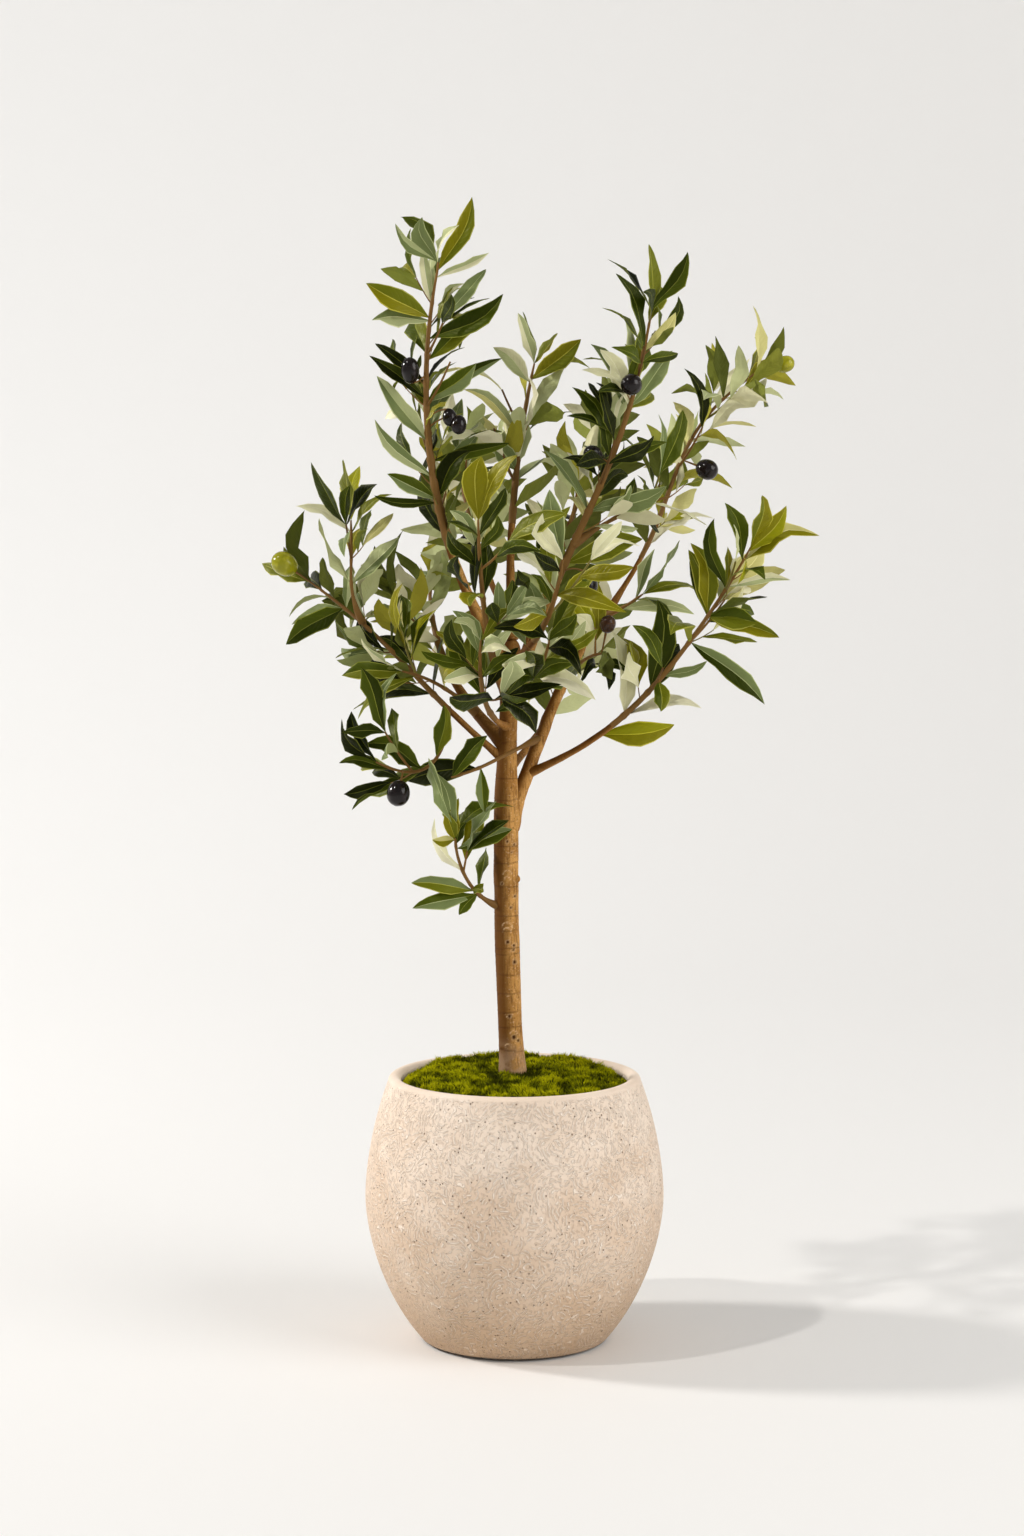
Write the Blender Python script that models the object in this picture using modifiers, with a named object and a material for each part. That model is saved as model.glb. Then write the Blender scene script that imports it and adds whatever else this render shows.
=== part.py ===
# Potted olive tree: a slim trunk that forks into open, rising boughs, in a barrel-shaped planter topped with moss.
# X runs right, Y back and Z up, in metres, and the origin is the centre of the planter's flat foot.
# Each limb is one curve from its parent to its tip. Its bare part is a bough. Its leafy part is the stem of a
# mass of foliage, with twigs and leaves that a seeded rule adds and then fuses on.

import math
import random

import bmesh
import bpy
from mathutils import Matrix
from mathutils import Vector
from mathutils.bvhtree import BVHTree

UP = Vector((0.0, 0.0, 1.0))
GAP = 0.0003

# Planter
POT_HEIGHT = 0.285
POT_BELLY_RADIUS = 0.1595
POT_BELLY_HEIGHT = 0.155
POT_REACH_UP = 0.257
POT_REACH_DOWN = 0.2034
POT_FULLNESS = 1.72
POT_WALL = 0.0135
POT_FLOOR = 0.016
POT_FOOT_HEIGHT = 0.003
POT_FOOT_INSET = 0.006
WALL_CLEAR = 0.0004
POT_STEPS = 30
POT_RINGS = 8
INNER_RINGS = 5
LIP_RINGS = 3
LIP_HEIGHT = 0.006
SOIL_TOP = 0.262
MOSS_EDGE = 0.276
MOSS_TOP = 0.2862
MOSS_CROWN_RADIUS = 0.022
MOSS_RINGS = 3

# Trunk
TRUNK_TIP = Vector((-0.003, 0.0, 0.748))
TRUNK_BOW = Vector((-0.0065, 0.004, 0.0))
TRUNK_RADIUS = 0.0130
TRUNK_FORK_RADIUS = 0.0098
TRUNK_FLARE = 0.0022
TRUNK_FLARE_HEIGHT = 0.045
TRUNK_FORK = (0.60, 0.80)
TRUNK_STATIONS = 13
TRUNK_SIDES = 12

# Limbs. on: the parent. along: where on it. tip: right, back and up. bow: how far the middle stands off the straight
# line. sway: an S on top of that. girth: radius at base and tip. bare: the share that is bough. leafy: where the
# leaves begin, if later. step: between leaf pairs. every: one side twig at each such node. twig: its length.
LIMBS = {
    "right": dict(on="trunk", along=0.564, tip=(0.104, 0.040, 0.783), bow=(-0.010, 0, 0.004),
                  sway=(0.002, 0, -0.001), girth=(0.0098, 0.0032), bare=1.0),
    "right_up": dict(on="right", along=1.0, tip=(0.261, 0.090, 1.033), bow=(-0.012, 0.010, 0.009),
                     sway=(0.008, 0, -0.005), girth=(0.0031, 0.0012), bare=0.20, step=0.029, every=2,
                     twig=0.058, seed=178),
    "right_low": dict(on="right", along=0.24, tip=(0.240, -0.100, 0.846), bow=(0.023, -0.005, -0.018),
                      sway=(0.002, 0, -0.003), girth=(0.0042, 0.0012), bare=0.30, step=0.031, every=2,
                      twig=0.060, leaf=1.12, seed=56),
    "centre_right": dict(on="trunk", along=0.833, tip=(0.140, -0.070, 1.088), bow=(0.009, 0, 0.001),
                         sway=(-0.006, 0, 0.002), girth=(0.0060, 0.0014), bare=0.34, step=0.028, every=2,
                         twig=0.062, seed=54),
    "leader": dict(on="trunk", along=1.0, tip=(0.021, 0.050, 1.040), bow=(-0.010, 0, 0), sway=(0, 0, 0),
                   girth=(0.0060, 0.0014), bare=0.42, step=0.027, every=2, twig=0.056, seed=86),
    "left_upright": dict(on="trunk", along=0.927, tip=(-0.078, -0.030, 1.139), bow=(-0.044, 0, -0.005),
                         sway=(-0.001, 0, -0.001), girth=(0.0070, 0.0013), bare=0.32, step=0.027, every=2,
                         twig=0.062, seed=8),
    "left_low": dict(on="trunk", along=0.718, tip=(-0.219, 0.060, 0.808), bow=(0.003, -0.020, 0.003),
                     sway=(-0.002, 0, -0.002), girth=(0.0040, 0.0013), bare=0.32, step=0.029, every=2,
                     twig=0.055, seed=57),
    "left_rise": dict(on="left_low", along=0.75, tip=(-0.173, 0.020, 0.874), bow=(-0.006, 0, 0),
                      sway=(-0.002, 0, 0), girth=(0.0019, 0.0012), bare=0.0, leafy=0.25, step=0.026, every=3,
                      twig=0.045, seed=34),
    "low_left": dict(on="left_low", along=0.305, tip=(-0.144, -0.060, 0.624), bow=(0.021, -0.010, -0.030),
                     sway=(0, 0, 0.002), girth=(0.0022, 0.0012), bare=0.0, leafy=0.42, step=0.025, every=2,
                     twig=0.060, seed=75),
    "cross": dict(on="right", along=0.395, tip=(-0.066, -0.050, 0.607), bow=(0, -0.020, -0.001),
                  sway=(0, 0, 0.001), girth=(0.0022, 0.0014), bare=0.0, leafy=0.60, step=0.025, every=9,
                  twig=0.04, seed=193),
    "sprig": dict(on="trunk", along=0.381, tip=(-0.062, -0.030, 0.548), bow=(-0.015, -0.004, -0.009),
                  sway=(0, 0, -0.002), girth=(0.0024, 0.0012), bare=0.0, leafy=0.16, step=0.026, every=3,
                  twig=0.035, seed=52),
    "elbow": dict(on="right", along=0.95, tip=(0.136, 0.020, 0.796), bow=(0, 0, -0.002), sway=(0, 0, 0),
                  girth=(0.0018, 0.0012), bare=0.0, leafy=0.20, step=0.022, every=9, twig=0.035, seed=86),
    "mid_right": dict(on="centre_right", along=0.42, tip=(0.160, -0.012, 0.898), bow=(0, 0, 0.006),
                      sway=(0, 0, 0), girth=(0.0024, 0.0012), bare=0.0, leafy=0.25, step=0.028, every=3,
                      twig=0.045, seed=17),
    "fork_right": dict(on="right", along=0.66, tip=(0.092, -0.030, 0.735), bow=(0, 0, 0.006), sway=(0, 0, 0),
                       girth=(0.0022, 0.0012), bare=0.0, leafy=0.20, step=0.026, every=3, twig=0.04, seed=99),
    "fork_left": dict(on="back_low", along=0.20, tip=(-0.118, -0.020, 0.716), bow=(0, 0, 0.008),
                      sway=(0, 0, 0), girth=(0.0026, 0.0012), bare=0.0, leafy=0.25, step=0.028, every=3,
                      twig=0.045, seed=64),
    "fork_front": dict(on="trunk", along=0.90, tip=(0.035, -0.130, 0.753), bow=(0.006, -0.010, -0.012),
                       sway=(0, 0, 0), girth=(0.0036, 0.0012), bare=0.22, step=0.027, every=2, twig=0.05,
                       seed=109),
    "front_low": dict(on="trunk", along=0.80, tip=(-0.034, -0.150, 0.754), bow=(-0.010, -0.012, -0.016),
                      sway=(0, 0, 0), girth=(0.0040, 0.0012), bare=0.25, step=0.028, every=2, twig=0.055,
                      seed=208),
    "front_left": dict(on="trunk", along=0.86, tip=(-0.036, -0.200, 0.874), bow=(-0.006, -0.036, -0.020),
                       sway=(0, 0, 0), girth=(0.0052, 0.0013), bare=0.36, step=0.031, every=2, twig=0.060,
                       seed=89),
    "front_right": dict(on="trunk", along=0.95, tip=(0.047, -0.215, 0.835), bow=(0.008, -0.024, -0.012),
                        sway=(0, 0, 0), girth=(0.0050, 0.0013), bare=0.34, step=0.031, every=2, twig=0.060,
                        seed=216),
    "back_right": dict(on="trunk", along=0.88, tip=(0.100, 0.200, 0.985), bow=(-0.004, 0.034, -0.020),
                       sway=(0, 0, 0), girth=(0.0056, 0.0013), bare=0.34, step=0.035, every=2, twig=0.062,
                       seed=159),
    "back_left": dict(on="leader", along=0.08, tip=(-0.065, 0.180, 0.950), bow=(-0.004, 0.024, -0.020),
                      sway=(0, 0, 0), girth=(0.0046, 0.0013), bare=0.34, step=0.034, every=2, twig=0.060,
                      seed=214),
    "back_low": dict(on="trunk", along=0.76, tip=(-0.094, 0.170, 0.812), bow=(-0.022, -0.010, -0.008),
                     sway=(0, 0, 0), girth=(0.0078, 0.0013), bare=0.42, step=0.034, every=2, twig=0.060,
                     seed=54),
    "back_side": dict(on="trunk", along=0.70, tip=(0.085, 0.180, 0.760), bow=(0.004, 0.014, -0.016),
                      sway=(0, 0, 0), girth=(0.0048, 0.0013), bare=0.38, step=0.034, every=2, twig=0.058,
                      seed=169),
}

# Olives. on, along: where the stalk leaves. hang: from there to the middle of the olive. size: length and width.
OLIVES = {
    "upright": dict(on="left_upright", along=0.74, hang=(-0.016, -0.020, 0.002), size=(0.027, 0.019)),
    "pair_upper": dict(on="left_upright", along=0.63, hang=(0.024, -0.018, 0.002), size=(0.019, 0.016)),
    "pair_lower": dict(on="left_upright", along=0.61, hang=(0.033, -0.024, 0.003), size=(0.019, 0.016)),
    "crown": dict(on="centre_right", along=0.82, hang=(-0.005, -0.020, 0.0), size=(0.025, 0.022)),
    "outer": dict(on="right_up", along=0.58, hang=(0.026, -0.020, -0.011), size=(0.025, 0.022)),
    "heart": dict(on="centre_right", along=0.35, hang=(0.027, -0.022, -0.012), size=(0.027, 0.022)),
    "brown": dict(on="fork_right", along=0.97, hang=(0.006, -0.010, 0.031), size=(0.019, 0.017)),
    "low": dict(on="low_left", along=0.80, hang=(-0.004, -0.018, -0.021), size=(0.027, 0.024)),
    "green_left": dict(on="left_low", along=0.99, hang=(-0.022, -0.010, 0.014), size=(0.030, 0.025)),
    "green_right": dict(on="right_up", along=0.99, hang=(0.032, -0.006, 0.010), size=(0.021, 0.018)),
    "dark_high": dict(on="centre_right", along=0.63, hang=(-0.018, -0.020, 0.008), size=(0.022, 0.018)),
    "behind": dict(on="back_right", along=0.62, hang=(0.006, 0.016, -0.026), size=(0.026, 0.022)),
    "behind_left": dict(on="back_left", along=0.66, hang=(-0.004, 0.018, -0.024), size=(0.025, 0.022)),
}
OLIVE_SEGMENTS = 6
OLIVE_RINGS = 5
STALK_RADIUS = 0.0009
STALK_ARCH = 0.12

# Leaves and twigs
LEAF_LENGTH = 0.075
LEAF_LENGTH_SPREAD = 0.18
LEAF_RATIO = (0.28, 0.37)
LEAF_ANGLE = (34.0, 56.0)
LEAF_LIFT = 0.22
LEAF_ROLL = 50.0
LEAF_OUTWARD = 0.8
LEAF_DROOP = (0.02, 0.20)
LEAF_THICKNESS = 0.0012
LEAF_RINGS = (0.10, 0.50)
LEAF_RING_WIDTH = (0.20, 1.04)
LEAF_SUNK = 0.0001
END_LEAF_SHARE = 0.94
END_PAIR_ANGLE = (24.0, 44.0)
LAST_LEAF_SHARE = (0.8, 1.1)
LAST_LEAF_ANGLE = (2.0, 12.0)
TWIG_ANGLE = (38.0, 54.0)
TWIG_LIFT = 0.20
TWIG_STEP = 0.025
TWIG_RADIUS = (0.0014, 0.0010)
NODE_TURN = 90.0
NODE_JITTER = 14.0
CLEARANCE = 0.0006
OWN_START = 0.16

# Other places for a leaf that meets something: turned by so many degrees in its own plane, at a share of its size
LEAF_TRIES = ((0.0, 1.0), (18.0, 1.0), (-18.0, 1.0), (0.0, 0.8), (28.0, 0.8), (-28.0, 0.8))

# Solids
BOUGH_SIDES = 6
STEM_SIDES = 4
BOUGH_STATIONS = 7
STEM_STATIONS = 6
CAP_STRAIGHT = 0.002
CUT_MARGIN = 0.00035
WELD = 0.000001
SHARP = math.radians(40.0)
SOLVER = "EXACT"
TWIG_OUTLINE = "twig_outline"

# Colours
POT_COLOUR = (0.73, 0.61, 0.49)
SOIL_COLOUR = (0.05, 0.035, 0.025)
MOSS_COLOUR = (0.22, 0.24, 0.03)
BARK_COLOUR = (0.30, 0.17, 0.08)
LEAF_COLOUR = (0.08, 0.11, 0.035)


def limb_path(limb, start):
    """Gives the curve of a limb: a straight line to its tip, plus its bow and its S."""
    tip = Vector(limb["tip"])
    bow = Vector(limb["bow"])
    sway = Vector(limb["sway"])

    def place(t):
        return start.lerp(tip, t) + bow * 4.0 * t * (1.0 - t) + sway * math.sin(2.0 * math.pi * t)

    return place


def trunk_path():
    foot = Vector((-0.002, 0.0, MOSS_TOP + GAP))

    def place(t):
        return foot.lerp(TRUNK_TIP, t) + TRUNK_BOW * 4.0 * t * (1.0 - t)

    return place


def trunk_radius(t):
    """Gives the trunk's radius: a flare at the foot and a smooth step down where the first bough leaves."""
    low, high = TRUNK_FORK
    share = min(max((t - low) / (high - low), 0.0), 1.0)
    share = share * share * (3.0 - 2.0 * share)
    above = t * (TRUNK_TIP.z - MOSS_TOP)
    flare = TRUNK_FLARE * max(1.0 - above / TRUNK_FLARE_HEIGHT, 0.0) ** 2
    return TRUNK_RADIUS + (TRUNK_FORK_RADIUS - TRUNK_RADIUS) * share + flare


def limb_order():
    """Gives the limbs' names with each parent before what grows on it."""
    done = ["trunk"]
    while len(done) <= len(LIMBS):
        done += [name for name, limb in LIMBS.items() if limb["on"] in done and name not in done]
    return done[1:]


def skeleton():
    """Gives each limb's curve and its radius along it, parents first."""
    paths = {"trunk": trunk_path()}
    radii = {"trunk": trunk_radius}
    for name in limb_order():
        limb = LIMBS[name]
        base, tip = limb["girth"]
        paths[name] = limb_path(limb, paths[limb["on"]](limb["along"]))
        radii[name] = lambda t, base=base, tip=tip: base + (tip - base) * t ** 0.8
    return paths, radii


def heading_at(path, t):
    step = 0.01
    return (path(min(t + step, 1.0)) - path(max(t - step, 0.0))).normalized()


def length_of(path, low, high, count=24):
    points = [path(low + (high - low) * i / count) for i in range(count + 1)]
    return sum((b - a).length for a, b in zip(points, points[1:]))


def around(axis, turn):
    """Gives the direction square to an axis at a turn about it, counted from the level."""
    level = axis.cross(UP)
    if level.length < 0.2:
        level = axis.cross(Vector((0.0, 1.0, 0.0)))
    level.normalize()
    return level * math.cos(turn) + level.cross(axis) * math.sin(turn)


def make_leaf(draw, root, axis, turn, size, angle=None):
    """Draws one leaf that leaves a node beside the axis, its upper face turned to the tip of the shoot."""
    if angle is None:
        angle = math.radians(draw.uniform(*LEAF_ANGLE))
    along = axis * math.cos(angle) + around(axis, turn) * math.sin(angle) + UP * LEAF_LIFT
    along.normalize()
    outward = Vector((root.x, root.y, 0.0)).normalized()
    face = axis * 0.5 + UP * 0.4 + outward * LEAF_OUTWARD
    face = face - along * face.dot(along)
    if face.length < 0.05:
        face = along.orthogonal()
    face.normalize()
    face = Matrix.Rotation(math.radians(draw.uniform(-LEAF_ROLL, LEAF_ROLL)), 3, along) @ face
    length = size * draw.uniform(1.0 - LEAF_LENGTH_SPREAD, 1.0 + LEAF_LENGTH_SPREAD)
    return dict(root=root.copy(), along=along, face=face, length=length,
                width=length * draw.uniform(*LEAF_RATIO), droop=draw.uniform(*LEAF_DROOP))


def leaf_point(leaf, t, side, lift=0.0, wide=0.0):
    """Gives a point of the leaf: t along its midrib, side across it, lift off its face. Its tip droops by t squared."""
    length = leaf["length"]
    across = leaf["along"].cross(leaf["face"])
    middle = leaf["root"] + leaf["along"] * length * t - leaf["face"] * leaf["droop"] * length * t * t
    return middle + across * side * (leaf["width"] * 0.5 + wide) + leaf["face"] * lift


def grow_mass(limb, path):
    """Grows the twigs and leaves of one mass along the leafy part of its limb, by the limb's own seed.
    Leaf pairs stand crosswise from node to node. At each few nodes a side twig takes the place of one leaf."""
    draw = random.Random(limb["seed"])
    low = max(limb["bare"], limb.get("leafy", 0.0))
    length = length_of(path, low, 1.0)
    nodes = max(int(length / limb["step"]), 2)
    turn = math.radians(draw.uniform(0.0, 180.0))
    twigs, leaves = [], []
    for k in range(nodes):
        share = (k + 0.5) / nodes
        t = low + (1.0 - low) * share
        node, axis = path(t), heading_at(path, t)
        turn += math.radians(NODE_TURN + draw.uniform(-NODE_JITTER, NODE_JITTER))
        size = LEAF_LENGTH * limb.get("leaf", 1.0) * (1.04 - 0.16 * share)
        first = turn + math.pi * draw.randrange(2)
        if k % limb["every"] == limb["every"] - 1 - (limb["every"] > 2) and share < 0.86:
            reach = limb["twig"] * (1.2 - 0.75 * share) * draw.uniform(0.85, 1.15)
            twigs.append(grow_twig(draw, node, axis, first, reach))
        else:
            leaves.append(make_leaf(draw, node, axis, first, size))
        leaves.append(make_leaf(draw, node, axis, first + math.pi, size))
    end, axis = path(1.0) - heading_at(path, 1.0) * 0.001, heading_at(path, 1.0)
    leaves += end_leaves(draw, end, axis, turn + math.radians(NODE_TURN))
    return twigs, leaves


def end_leaves(draw, end, axis, turn):
    """Draws the pair at the end of a shoot, and the one leaf in line with it."""
    size = LEAF_LENGTH * END_LEAF_SHARE
    leaves = []
    for side in (0.0, math.pi):
        angle = math.radians(draw.uniform(*END_PAIR_ANGLE))
        leaves.append(make_leaf(draw, end, axis, turn + side, size, angle))
    size *= draw.uniform(*LAST_LEAF_SHARE)
    angle = math.radians(draw.uniform(*LAST_LEAF_ANGLE))
    leaves.append(make_leaf(draw, end, axis, turn + math.pi / 2, size, angle))
    return leaves


def grow_twig(draw, root, axis, turn, reach):
    """Draws a side twig that bends up, with its own leaf pairs and end leaves."""
    angle = math.radians(draw.uniform(*TWIG_ANGLE))
    along = (axis * math.cos(angle) + around(axis, turn) * math.sin(angle)).normalized()
    bend = (UP * TWIG_LIFT * reach)
    points = [root + along * reach * u + bend * u * u for u in (0.0, 0.5, 1.0)]
    leaves = []
    pairs = max(round(reach / TWIG_STEP) - 1, 1)
    spin = math.radians(draw.uniform(0.0, 180.0))
    for k in range(pairs):
        u = (k + 0.9) / (pairs + 0.7)
        piece = 0 if u < 0.5 else 1
        node = points[piece].lerp(points[piece + 1], u * 2.0 - piece)
        heading = (points[piece + 1] - points[piece]).normalized()
        spin += math.radians(NODE_TURN + draw.uniform(-NODE_JITTER, NODE_JITTER))
        for side in (0.0, math.pi):
            leaves.append(make_leaf(draw, node, heading, spin + side, LEAF_LENGTH * 0.94))
    heading = (points[2] - points[1]).normalized()
    leaves += end_leaves(draw, points[2] - heading * 0.001, heading, spin + math.radians(NODE_TURN))
    return dict(points=points, leaves=leaves)


def remove_start_objects():
    for item in list(bpy.data.objects):
        bpy.data.objects.remove(item, do_unlink=True)


def new_collection(name):
    group = bpy.data.collections.new(name)
    bpy.context.scene.collection.children.link(group)
    return group


def paint(item, colour, roughness):
    """Gives an object its own Principled material."""
    material = bpy.data.materials.new(item.name)
    material.use_nodes = True
    shader = material.node_tree.nodes["Principled BSDF"]
    shader.inputs["Base Color"].default_value = (*colour, 1.0)
    shader.inputs["Roughness"].default_value = roughness
    shader.inputs["Metallic"].default_value = 0.0
    item.data.materials.clear()
    item.data.materials.append(material)


def as_mesh(item, group):
    """Turns a curve or a modified object into a plain mesh object of triangles, its doubled points welded."""
    bpy.context.view_layer.update()
    mesh = bpy.data.meshes.new_from_object(item.evaluated_get(bpy.context.evaluated_depsgraph_get()))
    work = bmesh.new()
    work.from_mesh(mesh)
    bmesh.ops.remove_doubles(work, verts=work.verts, dist=WELD)
    bmesh.ops.triangulate(work, faces=work.faces)
    work.to_mesh(mesh)
    work.free()
    name = item.name
    placed = item.matrix_world.copy()
    bpy.data.objects.remove(item, do_unlink=True)
    result = bpy.data.objects.new(name, mesh)
    result.matrix_world = placed
    group.objects.link(result)
    return result


def turned(name, profile, group):
    """Turns a profile of (radius, height) pairs about Z."""
    mesh = bpy.data.meshes.new(name)
    edges = [(i, i + 1) for i in range(len(profile) - 1)]
    mesh.from_pydata([(r, 0.0, z) for r, z in profile], edges, [])
    item = bpy.data.objects.new(name, mesh)
    group.objects.link(item)
    screw = item.modifiers.new("Turn", "SCREW")
    screw.steps = POT_STEPS
    screw.render_steps = POT_STEPS
    screw.use_merge_vertices = True
    screw.merge_threshold = 0.00001
    return as_mesh(item, group)


def bar(name, points, widths, sides, group):
    """Runs a round bar with flat ends through the points, with a radius at each. Three sides suit a twig."""
    curve = bpy.data.curves.new(name, "CURVE")
    curve.dimensions = "3D"
    curve.use_fill_caps = True
    if sides == 3:
        curve.bevel_mode = "OBJECT"
        curve.bevel_object = bpy.data.objects[TWIG_OUTLINE]
    else:
        curve.bevel_depth = 1.0
        curve.bevel_resolution = sides // 2 - 2
    line = curve.splines.new("POLY")
    line.points.add(len(points) - 1)
    for point, place, width in zip(line.points, points, widths):
        point.co = (*place, 1.0)
        point.radius = width
    item = bpy.data.objects.new(name, curve)
    group.objects.link(item)
    return as_mesh(item, group)


def twig_outline(group):
    """Draws the three-sided outline that twigs and stalks follow."""
    curve = bpy.data.curves.new(TWIG_OUTLINE, "CURVE")
    line = curve.splines.new("POLY")
    line.points.add(2)
    for k, point in enumerate(line.points):
        turn = -2.0 * math.pi * k / 3.0
        point.co = (math.cos(turn), math.sin(turn), 0.0, 1.0)
    line.use_cyclic_u = True
    item = bpy.data.objects.new(TWIG_OUTLINE, curve)
    item.hide_render = True
    item.display_type = "WIRE"
    group.objects.link(item)


def limb_bar(piece, group, grow=0.0):
    """Makes a bough, a stem or the trunk. Short straight runs cut both of its ends square."""
    path, radius, low, high = piece["path"], piece["radius"], piece["low"], piece["high"]
    count = piece["stations"]
    shares = [low + (high - low) * i / (count - 1) for i in range(count)]
    first = piece.get("first", heading_at(path, low))
    last = heading_at(path, high)
    start = path(low) + first * (piece["clear"] - grow)
    end = path(high) + last * grow
    points = [start, path(low) + first * CAP_STRAIGHT]
    points += [path(t) for t in shares[1:-1]]
    points += [path(high) - last * CAP_STRAIGHT, end]
    widths = [radius(t) + grow for t in [low] + shares + [high]]
    return bar(piece["name"], points, widths, piece["sides"], group)


def surface_of(item):
    """Gives an object's bounds and its surface, for finding what it meets."""
    points = [item.matrix_world @ v.co for v in item.data.vertices]
    return surface(points, [tuple(p.vertices) for p in item.data.polygons])


def surface(points, faces):
    low = [min(p[k] for p in points) for k in range(3)]
    high = [max(p[k] for p in points) for k in range(3)]
    return low, high, BVHTree.FromPolygons(points, faces)


def meets(this, that):
    apart = any(this[0][k] > that[1][k] or that[0][k] > this[1][k] for k in range(3))
    return not apart and bool(this[2].overlap(that[2]))


def cut_by(item, cutter, group):
    change = item.modifiers.new("Cut", "BOOLEAN")
    change.operation = "DIFFERENCE"
    change.object = cutter
    return as_mesh(item, group)


def keep_largest(item):
    """Keeps the largest closed surface of a mesh: a loose scrap and a sealed hollow both go."""
    work = bmesh.new()
    work.from_mesh(item.data)
    unseen = set(work.verts)
    shells = []
    while unseen:
        front = [unseen.pop()]
        shell = set(front)
        while front:
            vertex = front.pop()
            for edge in vertex.link_edges:
                other = edge.other_vert(vertex)
                if other in unseen:
                    unseen.remove(other)
                    shell.add(other)
                    front.append(other)
        shells.append(shell)
    shells.sort(key=len, reverse=True)
    loose = [v for shell in shells[1:] for v in shell]
    bmesh.ops.delete(work, geom=loose, context="VERTS")
    work.to_mesh(item.data)
    work.free()


def leaf_solid(leaf, start=0.0, clear=0.0):
    """Gives the points and faces of a leaf, from a sphere of three segments and three rings. One pole is the root, on
    the twig's axis, and the other is the tip. The rings are flat above, with a keel below. With a clearance it is the
    wider shape that has to stay free, with a ridge above too."""
    work = bmesh.new()
    bmesh.ops.create_uvsphere(work, u_segments=4 if clear else 3, v_segments=3, radius=1.0)
    bmesh.ops.triangulate(work, faces=work.faces)
    for v in work.verts:
        if v.co.z > 0.9:
            v.co = leaf_point(leaf, 1.0 + 2.0 * clear / leaf["length"], 0.0)
        elif v.co.z < -0.9:
            v.co = leaf_point(leaf, start - (LEAF_SUNK + clear) / leaf["length"], 0.0)
        else:
            ring = 0 if v.co.z < 0.0 else 1
            t = max(LEAF_RINGS[ring], start + LEAF_RINGS[0] * (1 + ring))
            if abs(v.co.x) > 0.1:
                side = math.copysign(LEAF_RING_WIDTH[ring], v.co.x)
                v.co = leaf_point(leaf, t, side, 0.0, 2.0 * clear)
            elif v.co.y > 0.0:
                v.co = leaf_point(leaf, t, 0.0, -LEAF_THICKNESS - 2.0 * clear)
            else:
                v.co = leaf_point(leaf, t, 0.0, 2.0 * clear)
    work.verts.index_update()
    points = [v.co.copy() for v in work.verts]
    faces = [tuple(v.index for v in f.verts) for f in work.faces]
    work.free()
    return points, faces


def other_try(leaf, degrees, share):
    changed = dict(leaf)
    changed["along"] = Matrix.Rotation(math.radians(degrees), 3, leaf["face"]) @ leaf["along"]
    changed["length"] = leaf["length"] * share
    changed["width"] = leaf["width"] * share
    return changed


def place_leaf(leaf, own, others):
    """Gives the first try of the leaf that keeps clear of other pieces, and its blade of its own mass, or None."""
    for degrees, share in LEAF_TRIES:
        changed = other_try(leaf, degrees, share)
        whole = surface(*leaf_solid(changed, 0.0, CLEARANCE))
        if any(meets(whole, other) for other in others):
            continue
        blade = surface(*leaf_solid(changed, OWN_START, CLEARANCE))
        if not any(meets(blade, piece) for piece in own):
            return changed
    return None


def twig_bar(name, points, ends, others, group):
    """Makes a three-sided twig, or nothing where it would come too near another piece."""
    widths = [ends[0], (ends[0] + ends[1]) / 2.0, ends[1]]
    guard = bar(name + "_guard", points, [w + 2.0 * CLEARANCE for w in widths], 3, group)
    space = surface_of(guard)
    bpy.data.objects.remove(guard, do_unlink=True)
    if any(meets(space, other) for other in others):
        return None
    return bar(name, points, widths, 3, group)


def leaf_object(name, leaf, group):
    points, faces = leaf_solid(leaf)
    mesh = bpy.data.meshes.new(name)
    mesh.from_pydata(points, [], faces)
    item = bpy.data.objects.new(name, mesh)
    group.objects.link(item)
    return item


def olive_objects(name, olive, path, others, group):
    """Makes an olive and its stalk, which leaves the limb and enters the olive's end."""
    root = path(olive["along"])
    hang = Vector(olive["hang"])
    middle = root + hang
    length, width = olive["size"]
    toward = hang.normalized()
    work = bmesh.new()
    bmesh.ops.create_uvsphere(work, u_segments=OLIVE_SEGMENTS, v_segments=OLIVE_RINGS, radius=0.5)
    bmesh.ops.triangulate(work, faces=work.faces)
    mesh = bpy.data.meshes.new(name)
    work.to_mesh(mesh)
    work.free()
    mesh.transform(Matrix.Diagonal((width, width, length, 1.0)))
    item = bpy.data.objects.new(name, mesh)
    item.matrix_world = Matrix.Translation(middle) @ toward.to_track_quat("Z", "Y").to_matrix().to_4x4()
    group.objects.link(item)
    arch = root + hang * 0.5 + UP * hang.length * STALK_ARCH
    entry = middle - toward * length * 0.25
    stalk = twig_bar(name + "_stalk", [root, arch, entry], (STALK_RADIUS, STALK_RADIUS), others, group)
    if not stalk or any(meets(surface_of(item), other) for other in others):
        print("no room for", name)
        return []
    return [item, stalk]


def outer_radius(height):
    """Gives the planter's outer radius. It is widest at the belly and falls off by a power on both sides."""
    reach = POT_REACH_UP if height > POT_BELLY_HEIGHT else POT_REACH_DOWN
    share = abs(height - POT_BELLY_HEIGHT) / reach
    return POT_BELLY_RADIUS * math.sqrt(1.0 - share ** POT_FULLNESS)


def inner_rings():
    top = POT_HEIGHT - LIP_HEIGHT
    heights = [POT_FLOOR + (top - POT_FLOOR) * i / (INNER_RINGS - 1) for i in range(INNER_RINGS)]
    return [(outer_radius(h) - POT_WALL, h) for h in heights]


def inner_radius(height):
    """Gives the radius of the planter's inner wall, straight from ring to ring."""
    rings = inner_rings()
    for (r0, z0), (r1, z1) in zip(rings, rings[1:]):
        if height <= z1:
            return r0 + (r1 - r0) * (height - z0) / (z1 - z0)
    return rings[-1][0]


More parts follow.
